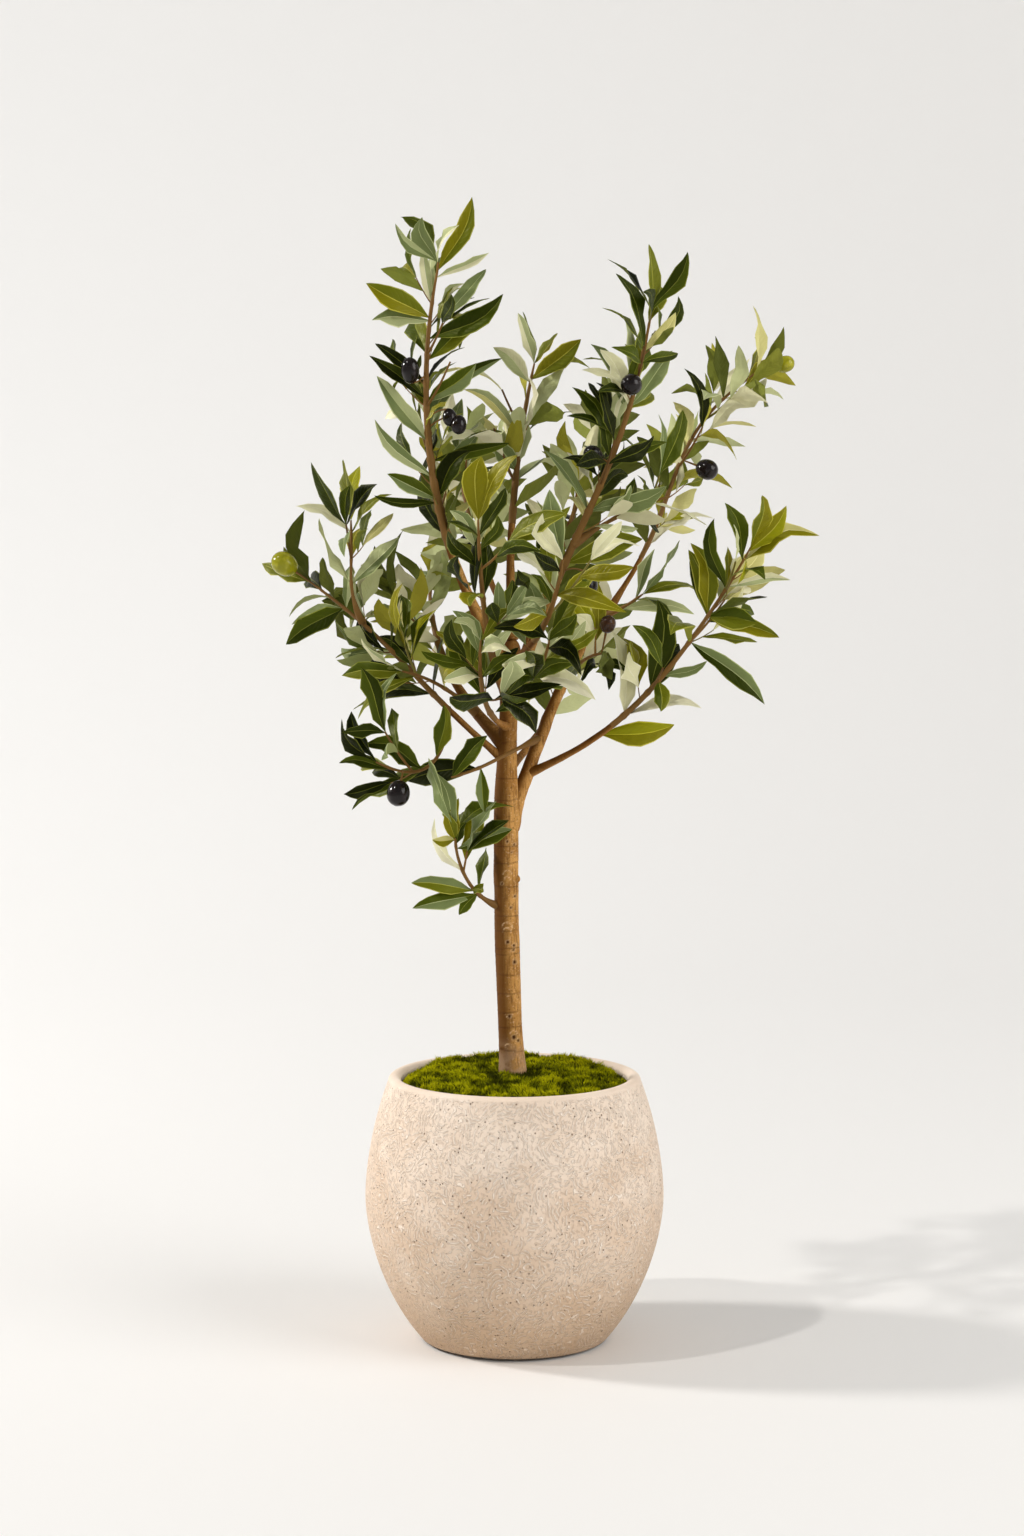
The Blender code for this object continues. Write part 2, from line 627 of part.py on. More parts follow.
def pot_profile():
    """Gives the planter's section: up the inner wall, over the round lip and down the outer wall to the foot."""
    lip = POT_HEIGHT - LIP_HEIGHT
    outer = outer_radius(lip)
    inner = outer - POT_WALL
    middle, half = (outer + inner) / 2.0, (outer - inner) / 2.0
    turns = [math.pi * i / (LIP_RINGS + 1) for i in range(1, LIP_RINGS + 1)]
    over = [(middle - half * math.cos(a), lip + LIP_HEIGHT * math.sin(a)) for a in turns]
    heights = [lip - (lip - POT_FOOT_HEIGHT) * i / (POT_RINGS - 1) for i in range(POT_RINGS)]
    down = [(outer_radius(h), h) for h in heights]
    foot = outer_radius(0.0) - POT_FOOT_INSET
    return [(0.0, POT_FLOOR)] + inner_rings() + over + down + [(foot, POT_FOOT_HEIGHT), (foot, 0.0), (0.0, 0.0)]


def soil_profile():
    rings = [(r, h) for r, h in inner_rings() if POT_FLOOR < h < SOIL_TOP]
    rings = [(inner_radius(POT_FLOOR), POT_FLOOR + GAP)] + rings + [(inner_radius(SOIL_TOP), SOIL_TOP)]
    side = [(r - WALL_CLEAR, h) for r, h in reversed(rings)]
    return [(0.0, SOIL_TOP)] + side + [(0.0, POT_FLOOR + GAP)]


def moss_profile():
    """Gives the moss: a level crown for the trunk to stand on, which falls in a soft curve to the planter's wall."""
    edge = inner_radius(MOSS_EDGE) - WALL_CLEAR
    shares = [i / MOSS_RINGS for i in range(MOSS_RINGS + 1)]
    reach, fall = edge - MOSS_CROWN_RADIUS, MOSS_TOP - MOSS_EDGE
    dome = [(MOSS_CROWN_RADIUS + reach * t, MOSS_TOP - fall * t * t) for t in shares]
    low = SOIL_TOP + GAP
    return [(0.0, MOSS_TOP)] + dome + [(inner_radius(low) - WALL_CLEAR, low), (0.0, low)]


def limb_pieces(paths, radii):
    """Lists the trunk, the boughs and the stems of the masses, each with its stretch of its limb's curve."""
    pieces = [dict(name="trunk", limb="trunk", low=0.0, high=1.0, stations=TRUNK_STATIONS, sides=TRUNK_SIDES,
                   clear=0.0, first=UP)]
    for name in limb_order():
        bare = LIMBS[name]["bare"]
        if bare > 0.0:
            pieces.append(dict(name="bough_" + name, limb=name, low=0.0, high=bare, stations=BOUGH_STATIONS,
                               sides=BOUGH_SIDES, clear=0.0))
        if bare < 1.0:
            pieces.append(dict(name="foliage_" + name, limb=name, low=bare, high=1.0, stations=STEM_STATIONS,
                               sides=STEM_SIDES, clear=GAP if bare > 0.0 else 0.0))
    for piece in pieces:
        piece["path"] = paths[piece["limb"]]
        piece["radius"] = radii[piece["limb"]]
    return pieces


def build_limbs(pieces, group, construction):
    """Makes each limb piece and cuts it clear of every earlier piece that it meets."""
    made, cutters = {}, []
    for piece in pieces:
        item = limb_bar(piece, group)
        around_it = surface_of(item)
        for limb, cutter, bounds in cutters:
            if limb != piece["limb"] and meets(around_it, bounds):
                item = cut_by(item, cutter, group)
                keep_largest(item)
        made[piece["name"]] = item
        cutter = limb_bar(dict(piece, name="cut_" + piece["name"]), construction, CUT_MARGIN)
        cutters.append((piece["limb"], cutter, surface_of(cutter)))
    for limb, cutter, bounds in cutters:
        bpy.data.objects.remove(cutter, do_unlink=True)
    return made


def others_than(mass, taken):
    """Gives all placed pieces but a mass's own and the end of its bough, which stands right under it."""
    bough = mass.replace("foliage_", "bough_")
    return [piece for name, pieces in taken.items() if name not in (mass, bough) for piece in pieces]


def build_masses(made, paths, radii, group, construction):
    """Adds twigs, leaves and olives to each stem where they keep clear, and fuses each mass."""
    taken = {name: [surface_of(item)] for name, item in made.items()}
    parts = {name: [] for name in made}
    for name, olive in OLIVES.items():
        mass = "foliage_" + olive["on"]
        others = others_than(mass, taken)
        for item in olive_objects("olive_" + name, olive, paths[olive["on"]], others, construction):
            parts[mass].append(item)
            taken[mass].append(surface_of(item))
    for limb in limb_order():
        mass = "foliage_" + limb
        if mass not in made:
            continue
        others = others_than(mass, taken)
        own = taken[mass]
        twigs, leaves = grow_mass(LIMBS[limb], paths[limb])
        for twig in twigs:
            item = twig_bar(mass + "_twig", twig["points"], TWIG_RADIUS, others, construction)
            if item:
                parts[mass].append(item)
                own.append(surface_of(item))
                leaves = leaves + twig["leaves"]
        for leaf in leaves:
            placed = place_leaf(leaf, own, others)
            if placed:
                parts[mass].append(leaf_object(mass + "_leaf", placed, construction))
                own.append(surface(*leaf_solid(placed)))
        made[mass] = fuse(made[mass], parts[mass], group)


def fuse(stem, parts, group):
    """Joins a mass into one closed body with one Boolean union on a collection."""
    joined = bpy.data.collections.new(stem.name + "_parts")
    for item in parts:
        joined.objects.link(item)
    change = stem.modifiers.new("Join", "BOOLEAN")
    change.operation = "UNION"
    change.operand_type = "COLLECTION"
    change.collection = joined
    change.solver = SOLVER
    result = as_mesh(stem, group)
    for item in parts:
        bpy.data.objects.remove(item, do_unlink=True)
    bpy.data.collections.remove(joined)
    keep_largest(result)
    return result


def main():
    remove_start_objects()
    group = new_collection("potted_olive_tree")
    construction = new_collection("construction")
    construction.hide_render = True
    twig_outline(construction)
    pot = turned("pot", pot_profile(), group)
    soil = turned("potting_mix", soil_profile(), group)
    moss = turned("moss", moss_profile(), group)
    paths, radii = skeleton()
    made = build_limbs(limb_pieces(paths, radii), group, construction)
    build_masses(made, paths, radii, group, construction)
    paint(pot, POT_COLOUR, 0.9)
    paint(soil, SOIL_COLOUR, 0.95)
    paint(moss, MOSS_COLOUR, 0.95)
    for name, item in made.items():
        if name.startswith("foliage_"):
            paint(item, LEAF_COLOUR, 0.5)
        else:
            paint(item, BARK_COLOUR, 0.75)
            item.data.shade_smooth()
            item.data.set_sharp_from_angle(angle=SHARP)
    for item in (pot, soil, moss):
        item.data.shade_smooth()
        item.data.set_sharp_from_angle(angle=SHARP)


main()
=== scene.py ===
import math
import random

import bpy
import numpy as np
from mathutils import Matrix, Vector
from mathutils.bvhtree import BVHTree


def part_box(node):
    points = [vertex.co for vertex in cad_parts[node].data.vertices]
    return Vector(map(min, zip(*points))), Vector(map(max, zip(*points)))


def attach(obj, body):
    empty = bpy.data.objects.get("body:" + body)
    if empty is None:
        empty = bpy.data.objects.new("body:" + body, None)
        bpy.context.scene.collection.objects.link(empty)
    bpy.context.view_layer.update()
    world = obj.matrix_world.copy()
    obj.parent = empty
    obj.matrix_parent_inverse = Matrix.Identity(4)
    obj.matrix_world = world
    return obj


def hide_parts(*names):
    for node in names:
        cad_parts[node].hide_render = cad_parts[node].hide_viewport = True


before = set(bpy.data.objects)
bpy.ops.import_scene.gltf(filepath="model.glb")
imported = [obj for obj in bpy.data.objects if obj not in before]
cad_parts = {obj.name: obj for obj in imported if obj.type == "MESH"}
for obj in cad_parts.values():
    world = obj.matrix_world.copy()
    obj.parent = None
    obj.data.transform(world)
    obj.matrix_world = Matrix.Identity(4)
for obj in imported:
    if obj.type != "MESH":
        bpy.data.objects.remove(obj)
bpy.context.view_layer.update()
print("frame loaded:", len(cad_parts), "nodes")

# Camera, light and floor. Metres and degrees; turn counts from the front, and height is above the floor.

studio = {
    "eye": (-0.0027, -3.1, 0.867), "lookDown": 4.69, "lens": 68.9, "film": 36.0, "photo": (1024.0, 1536.0),
    "sky": (1.0, 0.998, 0.99), "skyStrength": 0.355,
    "frontSun": {"turn": -62.0, "height": 50.0, "strength": 0.67, "softness": 2.0, "colour": (1.0, 0.97, 0.93)},
    "lamps": {
        "left_lamp": {"place": (-3.45, 0.48, 2.45), "aim": (0.0, 0.0, 0.5),
                      "size": 0.55, "power": 97.0, "colour": (1.0, 0.97, 0.935)},
        "right_lamp": {"place": (3.3, -1.9, 2.5), "aim": (0.0, 0.0, 0.6),
                       "size": 3.2, "power": 89.0, "colour": (1.0, 0.985, 0.965)},
        "wall_lamp": {"place": (-2.6, 2.6, 4.2), "aim": (-1.6, 7.2, 2.3),
                      "size": 2.8, "power": 94.0, "colour": (1.0, 0.995, 0.985)},
    },
    "floor": (0.862, 0.855, 0.843), "floorReach": 2.4, "wallReach": 7.6, "wallHeight": 3.6, "wallRim": 0.4,
    "floorRings": (0.02, 0.5, 1.6), "floorSides": 96, "bendRows": 36,
}


def makeCamera():
    camera = bpy.data.cameras.new("camera")
    camera.sensor_width = studio["film"]
    camera.lens = studio["lens"]
    item = bpy.data.objects.new("camera", camera)
    item.location = studio["eye"]
    item.rotation_euler = (math.radians(90.0 - studio["lookDown"]), 0.0, 0.0)
    bpy.context.scene.collection.objects.link(item)
    bpy.context.scene.camera = item


def makeLamp(name, kind, place, aim, **settings):
    lamp = bpy.data.lights.new(name, kind)
    for key, value in settings.items():
        setattr(lamp, key, value)
    item = bpy.data.objects.new(name, lamp)
    item.location = place
    item.rotation_euler = (Vector(aim) - Vector(place)).to_track_quat("-Z", "Y").to_euler()
    item.visible_camera = False
    bpy.context.scene.collection.objects.link(item)


def makeSun(name, sun):
    turn, height = math.radians(sun["turn"]), math.radians(sun["height"])
    place = Vector((math.sin(turn) * math.cos(height), -math.cos(turn) * math.cos(height), math.sin(height))) * 3.0
    makeLamp(name, "SUN", place, (0.0, 0.0, 0.0), energy=sun["strength"], angle=math.radians(sun["softness"]),
             color=sun["colour"])


def makeStudio():
    world = bpy.data.worlds.new("studio")
    world.use_nodes = True
    glow = world.node_tree.nodes["Background"]
    glow.inputs["Color"].default_value = (*studio["sky"], 1.0)
    glow.inputs["Strength"].default_value = studio["skyStrength"]
    bpy.context.scene.world = world
    makeSun("front_sun", studio["frontSun"])
    for name, lamp in studio["lamps"].items():
        makeLamp(name, "AREA", lamp["place"], lamp["aim"], shape="DISK", size=lamp["size"], energy=lamp["power"],
                 color=lamp["colour"])
    bpy.context.scene.view_settings.view_transform = "Standard"


makeCamera()
makeStudio()
print("camera and lights made")


# Materials. A signal is a socket whose value Python's own signs can change: each sign adds a Math node.


class Signal:
    def __init__(self, tree, socket):
        self.tree, self.socket = tree, socket

    def maths(self, operation, first, second):
        made = self.tree.nodes.new("ShaderNodeMath")
        made.operation = operation
        for port, value in zip(made.inputs, (first, second)):
            if isinstance(value, Signal):
                self.tree.links.new(value.socket, port)
            else:
                port.default_value = value
        return Signal(self.tree, made.outputs[0])

    def __add__(self, other):
        return self.maths("ADD", self, other)

    def __sub__(self, other):
        return self.maths("SUBTRACT", self, other)

    def __rsub__(self, other):
        return self.maths("SUBTRACT", other, self)

    def __mul__(self, other):
        return self.maths("MULTIPLY", self, other)

    __radd__, __rmul__ = __add__, __mul__

    def __abs__(self):
        return self.maths("ABSOLUTE", self, 0.0)

    def twin(self, output):
        # another output of the same node
        return Signal(self.tree, self.socket.node.outputs[output])


class Finish:
    # a material with one Principled shader and the nodes that feed it

    def __init__(self, name, colour, roughness, **sockets):
        self.material = bpy.data.materials.new(name)
        self.material.use_nodes = True
        self.tree = self.material.node_tree
        self.shader = self.tree.nodes["Principled BSDF"]
        for key, value in {"Base_Color": (*colour, 1.0), "Roughness": roughness, **sockets}.items():
            self.shader.inputs[key.replace("_", " ")].default_value = value

    def node(self, kind, settings=None, inputs=None, output=0):
        # any node: its type, its settings, then the values or links of its sockets
        made = self.tree.nodes.new(kind)
        for key, value in (settings or {}).items():
            setattr(made, key, value)
        for key, value in (inputs or {}).items():
            if isinstance(value, Signal):
                self.tree.links.new(value.socket, made.inputs[key])
            else:
                made.inputs[key].default_value = value
        return Signal(self.tree, made.outputs[output])

    def where(self, stretch=(1.0, 1.0, 1.0)):
        # Object coordinates, stretched along each axis
        spot = self.node("ShaderNodeTexCoord", output="Object")
        return self.node("ShaderNodeMapping", None, {"Vector": spot, "Scale": stretch})

    def height(self, spot):
        return self.node("ShaderNodeSeparateXYZ", None, {0: spot}, 2)

    def noise(self, spot, scale, detail=2.0, output=0):
        return self.node("ShaderNodeTexNoise", None, {"Vector": spot, "Scale": scale, "Detail": detail}, output)

    def attribute(self, name):
        return self.node("ShaderNodeAttribute", {"attribute_name": name}, output="Fac")

    def vector(self, operation, first, second, output=0):
        return self.node("ShaderNodeVectorMath", {"operation": operation}, {0: first, 1: second}, output)

    def scaled(self, value, times):
        return self.node("ShaderNodeVectorMath", {"operation": "SCALE"}, {"Vector": value, "Scale": times})

    def between(self, value, low, high):
        # 0 below low, 1 above high, and a smooth step from one to the other
        return self.node("ShaderNodeMapRange", {"interpolation_type": "SMOOTHSTEP"},
                         {"Value": value, "From Min": low, "From Max": high})

    def blend(self, share, first, second):
        # one colour into another by a share from 0 to 1
        pair = [value if isinstance(value, Signal) else (*value, 1.0) for value in (first, second)]
        return self.node("ShaderNodeMix", {"data_type": "RGBA"}, {0: share, 6: pair[0], 7: pair[1]}, 2)

    def feed(self, socket, value):
        self.tree.links.new(value.socket, self.shader.inputs[socket])

    def relief(self, height, depth, strength=1.0):
        # the height goes from 0 to 1, and the depth in metres is what 1 stands for
        self.feed("Normal", self.node("ShaderNodeBump", None, {"Height": height, "Distance": depth, "Strength": strength}))


def grainFinishes(name, piece):
    # one material for each tone of a piece, with a fine grain in its roughness and its relief
    finishes = []
    for letter, colour in zip("abcd", piece["tones"]):
        finish = Finish(name + letter, seen(*colour), piece["gloss"], Specular_IOR_Level=piece["shine"])
        grain = finish.noise(finish.where(), piece["grain"], 3.0)
        finish.feed("Roughness", grain * piece["rough"][0] + piece["rough"][1])
        finish.relief(grain, *piece["relief"])
        finishes.append(finish)
    return finishes


def seen(red, green, blue):
    # a colour as a screen shows it, turned into the light value that Blender mixes
    return tuple(c / 255.0 / 12.92 if c <= 10 else ((c / 255.0 + 0.055) / 1.055) ** 2.4 for c in (red, green, blue))


# Mesh helpers


def latticeNoise(x, y, z, seed):
    # smooth noise from 0 to 1: a scrambled number at each whole point, blended along each axis by 3t^2 - 2t^3
    whole = [np.floor(v).astype(np.int64) for v in (x, y, z)]
    part = [v - w for v, w in zip((x, y, z), whole)]
    part = [p * p * (3.0 - 2.0 * p) for p in part]
    total = 0.0
    for corner in range(8):
        step = [corner >> k & 1 for k in range(3)]
        key = (whole[0] + step[0]) * 374761393 + (whole[1] + step[1]) * 668265263
        key = key + (whole[2] + step[2]) * 1442695041 + seed * 974711
        key = (key ^ (key >> 13)) & 0xFFFFFFFF
        key = (key * 1274126177 ^ (key * 1274126177 >> 16)) & 0xFFFF
        share = 1.0
        for k in range(3):
            share = share * (part[k] if step[k] else 1.0 - part[k])
        total = total + share * key / 65535.0
    return total


def roundTurns(count):
    # equal angles, once round
    return np.arange(count) * 2.0 * math.pi / count


def ringFaces(rows, columns):
    # the quads between the rings of a surface that is closed round: each ring to the next
    i, j = np.arange(rows - 1)[:, None] * columns, np.arange(columns)[None, :]
    k = (j + 1) % columns
    return np.stack([i + j, i + k, i + columns + k, i + columns + j], -1).reshape(-1, 4)


def endFaces(rows, columns):
    # the triangles from the first ring to a pole and from the last ring to another, the poles being the next two points
    j = np.arange(columns)
    k, last = (j + 1) % columns, (rows - 1) * columns
    low = np.stack([k, j, np.full(columns, rows * columns)], -1)
    high = np.stack([last + j, last + k, np.full(columns, rows * columns + 1)], -1)
    return np.concatenate([low, high])


def closeEnds(grid):
    # adds a pole at each end of a grid of rings, and gives the points, the quads and the end triangles
    rows, columns = grid.shape[:2]
    points = np.concatenate([grid.reshape(-1, 3), [grid[0].mean(0), grid[-1].mean(0)]])
    return points, ringFaces(rows, columns), endFaces(rows, columns)


def tube(path, radius, sides):
    # a closed tube: at each point of the path a ring square to it, of the given radius, turned from one fixed direction
    ahead = np.gradient(path, axis=0)
    ahead /= np.linalg.norm(ahead, axis=1)[:, None]
    fixed = np.eye(3)[np.argmin(np.abs(ahead.mean(0)))]
    first = np.cross(ahead, fixed)
    first /= np.linalg.norm(first, axis=1)[:, None]
    second = np.cross(ahead, first)
    turn = roundTurns(sides)
    outward = first[:, None] * np.cos(turn)[None, :, None] + second[:, None] * np.sin(turn)[None, :, None]
    radius = np.broadcast_to(np.asarray(radius).reshape(len(path), -1), (len(path), sides))
    points, quads, ends = closeEnds(path[:, None] + outward * radius[..., None])
    return {"points": points, "faces": [quads, ends]}


def makePiece(name, parts, finishes, sharp=None):
    # joins parts, each with its points, its faces and a finish number for each face, into one mesh
    points = np.concatenate([part["points"] for part in parts]).astype(np.float32)
    corners, counts, slots, start = [], [], [], 0
    for part in parts:
        numbers = part.get("slots") or [0] * len(part["faces"])
        for faces, number in zip(part["faces"], numbers):
            corners.append((faces + start).ravel())
            counts.append(np.full(len(faces), faces.shape[1]))
            slots.append(np.broadcast_to(number, len(faces)))
        start += len(part["points"])
    corners, counts, slots = np.concatenate(corners), np.concatenate(counts), np.concatenate(slots)
    mesh = bpy.data.meshes.new(name)
    mesh.vertices.add(len(points))
    mesh.vertices.foreach_set("co", points.ravel())
    mesh.loops.add(len(corners))
    mesh.loops.foreach_set("vertex_index", corners.astype(np.int32))
    mesh.polygons.add(len(counts))
    mesh.polygons.foreach_set("loop_start", np.concatenate([[0], np.cumsum(counts)[:-1]]).astype(np.int32))
    mesh.polygons.foreach_set("material_index", slots.astype(np.int32))
    for finish in finishes:
        mesh.materials.append(finish.material)
    mesh.update(calc_edges=True)
    for key in parts[0].get("values", {}):
        layer = mesh.attributes.new(key, "FLOAT", "POINT")
        layer.data.foreach_set("value", np.concatenate([part["values"][key] for part in parts]).astype(np.float32))
    if "map" in parts[0]:
        layer = mesh.uv_layers.new(name="leaf_map")
        flat = np.concatenate([part["map"] for part in parts])[corners]
        layer.data.foreach_set("uv", flat.astype(np.float32).ravel())
    mesh.shade_smooth()
    if sharp:
        mesh.set_sharp_from_angle(angle=math.radians(sharp))
    item = bpy.data.objects.new(name, mesh)
    bpy.context.scene.collection.objects.link(item)
    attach(item, "root")
    print(name + ":", int((counts - 2).sum()), "triangles")
    return item


# Floor: a disc that curves up into a round wall far behind the plant


def makeFloor():
    reach, wall, height, sides = (studio[key] for key in ("floorReach", "wallReach", "wallHeight", "floorSides"))
    bend = np.linspace(0.0, math.pi / 2.0, studio["bendRows"])
    radius = np.concatenate([studio["floorRings"], reach + (wall - reach) * np.sin(bend), [wall]])
    rise = np.concatenate([[0.0, 0.0, 0.0], height * (1.0 - np.cos(bend)), [height + studio["wallRim"]]])
    turn = roundTurns(sides)
    grid = np.stack([radius[:, None] * np.cos(turn), radius[:, None] * np.sin(turn), rise[:, None] + 0.0 * turn], -1)
    points = np.concatenate([grid.reshape(-1, 3), [[0.0, 0.0, 0.0]]])
    middle = np.stack([np.full(sides, len(points) - 1), np.arange(sides), (np.arange(sides) + 1) % sides], -1)
    quads = ringFaces(*grid.shape[:2])[:, ::-1]
    mesh = bpy.data.meshes.new("floor")
    mesh.from_pydata(points.tolist(), [], quads.tolist() + middle.tolist())
    mesh.shade_smooth()
    paper = Finish("backdrop_paper", studio["floor"], 0.75)
    paper.relief(paper.noise(paper.where(), 900.0), 0.0002, 0.1)
    mesh.materials.append(paper.material)
    item = bpy.data.objects.new("floor", mesh)
    bpy.context.scene.collection.objects.link(item)


makeFloor()
print("floor made")


# Limbs, as the solids have them. on: the parent. along: where on it. tip: right, back and up. bow: how far the middle
# stands off the straight line. sway: an S on top of that. girth: radius at base and tip. bare: the share without leaves.
# leafy: where leaves begin, if later. step: between leaf pairs. every: one side twig at each such node. twig: its length.

trunk = {
    "foot": (-0.002, 0.0, 0.2865), "tip": (-0.003, 0.0, 0.748), "bow": (-0.0065, 0.004, 0.0),
    "radius": 0.0130, "forkRadius": 0.0098, "fork": (0.60, 0.80), "flare": 0.0022, "flareHeight": 0.045,
}
limbs = {
    "right": dict(on="trunk", along=0.564, tip=(0.104, 0.040, 0.783), bow=(-0.010, 0, 0.004), sway=(0.002, 0, -0.001),
                  girth=(0.0098, 0.0032), bare=1.0),
    "right_up": dict(on="right", along=1.0, tip=(0.261, 0.090, 1.033), bow=(-0.012, 0.010, 0.009), sway=(0.008, 0, -0.005),
                     girth=(0.0031, 0.0012), bare=0.20, step=0.029, every=2, twig=0.058, seed=178),
    "right_low": dict(on="right", along=0.24, tip=(0.240, -0.100, 0.846), bow=(0.023, -0.005, -0.018), sway=(0.002, 0, -0.003),
                      girth=(0.0042, 0.0012), bare=0.30, step=0.031, every=2, twig=0.060, leaf=1.12, seed=56),
    "centre_right": dict(on="trunk", along=0.833, tip=(0.140, -0.070, 1.088), bow=(0.009, 0, 0.001), sway=(-0.006, 0, 0.002),
                         girth=(0.0060, 0.0014), bare=0.34, step=0.028, every=2, twig=0.062, seed=54),
    "leader": dict(on="trunk", along=1.0, tip=(0.021, 0.050, 1.040), bow=(-0.010, 0, 0),
                   girth=(0.0060, 0.0014), bare=0.42, step=0.027, every=2, twig=0.056, seed=86),
    "left_upright": dict(on="trunk", along=0.927, tip=(-0.078, -0.030, 1.139), bow=(-0.044, 0, -0.005), sway=(-0.001, 0, -0.001),
                         girth=(0.0070, 0.0013), bare=0.32, step=0.027, every=2, twig=0.062, seed=8),
    "left_low": dict(on="trunk", along=0.718, tip=(-0.219, 0.060, 0.808), bow=(0.003, -0.020, 0.003), sway=(-0.002, 0, -0.002),
                     girth=(0.0040, 0.0013), bare=0.32, step=0.029, every=2, twig=0.055, seed=57),
    "left_rise": dict(on="left_low", along=0.75, tip=(-0.173, 0.020, 0.874), bow=(-0.006, 0, 0), sway=(-0.002, 0, 0),
                      girth=(0.0019, 0.0012), bare=0.0, leafy=0.25, step=0.026, every=3, twig=0.045, seed=34),
    "low_left": dict(on="left_low", along=0.305, tip=(-0.144, -0.060, 0.624), bow=(0.021, -0.010, -0.030), sway=(0, 0, 0.002),
                     girth=(0.0022, 0.0012), bare=0.0, leafy=0.42, step=0.025, every=2, twig=0.060, seed=75),
    "cross": dict(on="right", along=0.395, tip=(-0.066, -0.050, 0.607), bow=(0, -0.020, -0.001), sway=(0, 0, 0.001),
                  girth=(0.0022, 0.0014), bare=0.0, leafy=0.60, step=0.025, every=9, twig=0.04, seed=193),
    "sprig": dict(on="trunk", along=0.381, tip=(-0.062, -0.030, 0.548), bow=(-0.015, -0.004, -0.009), sway=(0, 0, -0.002),
                  girth=(0.0024, 0.0012), bare=0.0, leafy=0.16, step=0.026, every=3, twig=0.035, seed=52),
    "elbow": dict(on="right", along=0.95, tip=(0.136, 0.020, 0.796), bow=(0, 0, -0.002),
                  girth=(0.0018, 0.0012), bare=0.0, leafy=0.20, step=0.022, every=9, twig=0.035, seed=86),
    "mid_right": dict(on="centre_right", along=0.42, tip=(0.160, -0.012, 0.898), bow=(0, 0, 0.006),
                      girth=(0.0024, 0.0012), bare=0.0, leafy=0.25, step=0.028, every=3, twig=0.045, seed=17),
    "fork_right": dict(on="right", along=0.66, tip=(0.092, -0.030, 0.735), bow=(0, 0, 0.006),
                       girth=(0.0022, 0.0012), bare=0.0, leafy=0.20, step=0.026, every=3, twig=0.04, seed=99),
    "fork_left": dict(on="back_low", along=0.20, tip=(-0.118, -0.020, 0.716), bow=(0, 0, 0.008),
                      girth=(0.0026, 0.0012), bare=0.0, leafy=0.25, step=0.028, every=3, twig=0.045, seed=64),
    "fork_front": dict(on="trunk", along=0.90, tip=(0.035, -0.130, 0.753), bow=(0.006, -0.010, -0.012),
                       girth=(0.0036, 0.0012), bare=0.22, step=0.027, every=2, twig=0.05, seed=109),
    "front_low": dict(on="trunk", along=0.80, tip=(-0.034, -0.150, 0.754), bow=(-0.010, -0.012, -0.016),
                      girth=(0.0040, 0.0012), bare=0.25, step=0.028, every=2, twig=0.055, seed=208),
    "front_left": dict(on="trunk", along=0.86, tip=(-0.036, -0.200, 0.874), bow=(-0.006, -0.036, -0.020),
                       girth=(0.0052, 0.0013), bare=0.36, step=0.031, every=2, twig=0.060, seed=89),
    "front_right": dict(on="trunk", along=0.95, tip=(0.047, -0.215, 0.835), bow=(0.008, -0.024, -0.012),
                        girth=(0.0050, 0.0013), bare=0.34, step=0.031, every=2, twig=0.060, seed=216),
    "back_right": dict(on="trunk", along=0.88, tip=(0.100, 0.200, 0.985), bow=(-0.004, 0.034, -0.020),
                       girth=(0.0056, 0.0013), bare=0.34, step=0.035, every=2, twig=0.062, seed=159),
    "back_left": dict(on="leader", along=0.08, tip=(-0.065, 0.180, 0.950), bow=(-0.004, 0.024, -0.020),
                      girth=(0.0046, 0.0013), bare=0.34, step=0.034, every=2, twig=0.060, seed=214),
    "back_low": dict(on="trunk", along=0.76, tip=(-0.094, 0.170, 0.812), bow=(-0.022, -0.010, -0.008),
                     girth=(0.0078, 0.0013), bare=0.42, step=0.034, every=2, twig=0.060, seed=54),
    "back_side": dict(on="trunk", along=0.70, tip=(0.085, 0.180, 0.760), bow=(0.004, 0.014, -0.016),
                      girth=(0.0048, 0.0013), bare=0.38, step=0.034, every=2, twig=0.058, seed=169),
}

# How leaves and side twigs stand on a shoot, as in the solids. Angles in degrees; two numbers are a range, but sizeFade and
# twigFade are the share at the start and what is lost along the limb, and twigPairs sets how pairs are spaced on a twig.

leafRule = {
    "length": 0.075, "spread": 0.18, "ratio": (0.28, 0.37), "angle": (34.0, 56.0), "lift": 0.22, "roll": 50.0,
    "outward": 0.8, "forward": 0.5, "skyward": 0.4, "droop": (0.02, 0.20), "sizeFade": (1.04, 0.16),
    "endShare": 0.94, "endAngle": (24.0, 44.0), "lastShare": (0.8, 1.1), "lastAngle": (2.0, 12.0), "endInset": 0.001,
    "twigAngle": (38.0, 54.0), "twigLift": 0.20, "twigStep": 0.025, "twigPairs": (0.9, 0.7), "twigFade": (1.2, 0.75),
    "twigLot": (0.85, 1.15), "twigsTo": 0.86, "nodeTurn": 90.0, "nodeJitter": 14.0,
}
upward = Vector((0.0, 0.0, 1.0))


def limbPath(start, limb):
    # a straight line to the tip, plus the bow by 4t(1 - t) and the sway by the sine of a full turn
    tip, bow, sway = Vector(limb["tip"]), Vector(limb["bow"]), Vector(limb.get("sway", (0, 0, 0)))
    return lambda t: start.lerp(tip, t) + bow * 4.0 * t * (1.0 - t) + sway * math.sin(2.0 * math.pi * t)


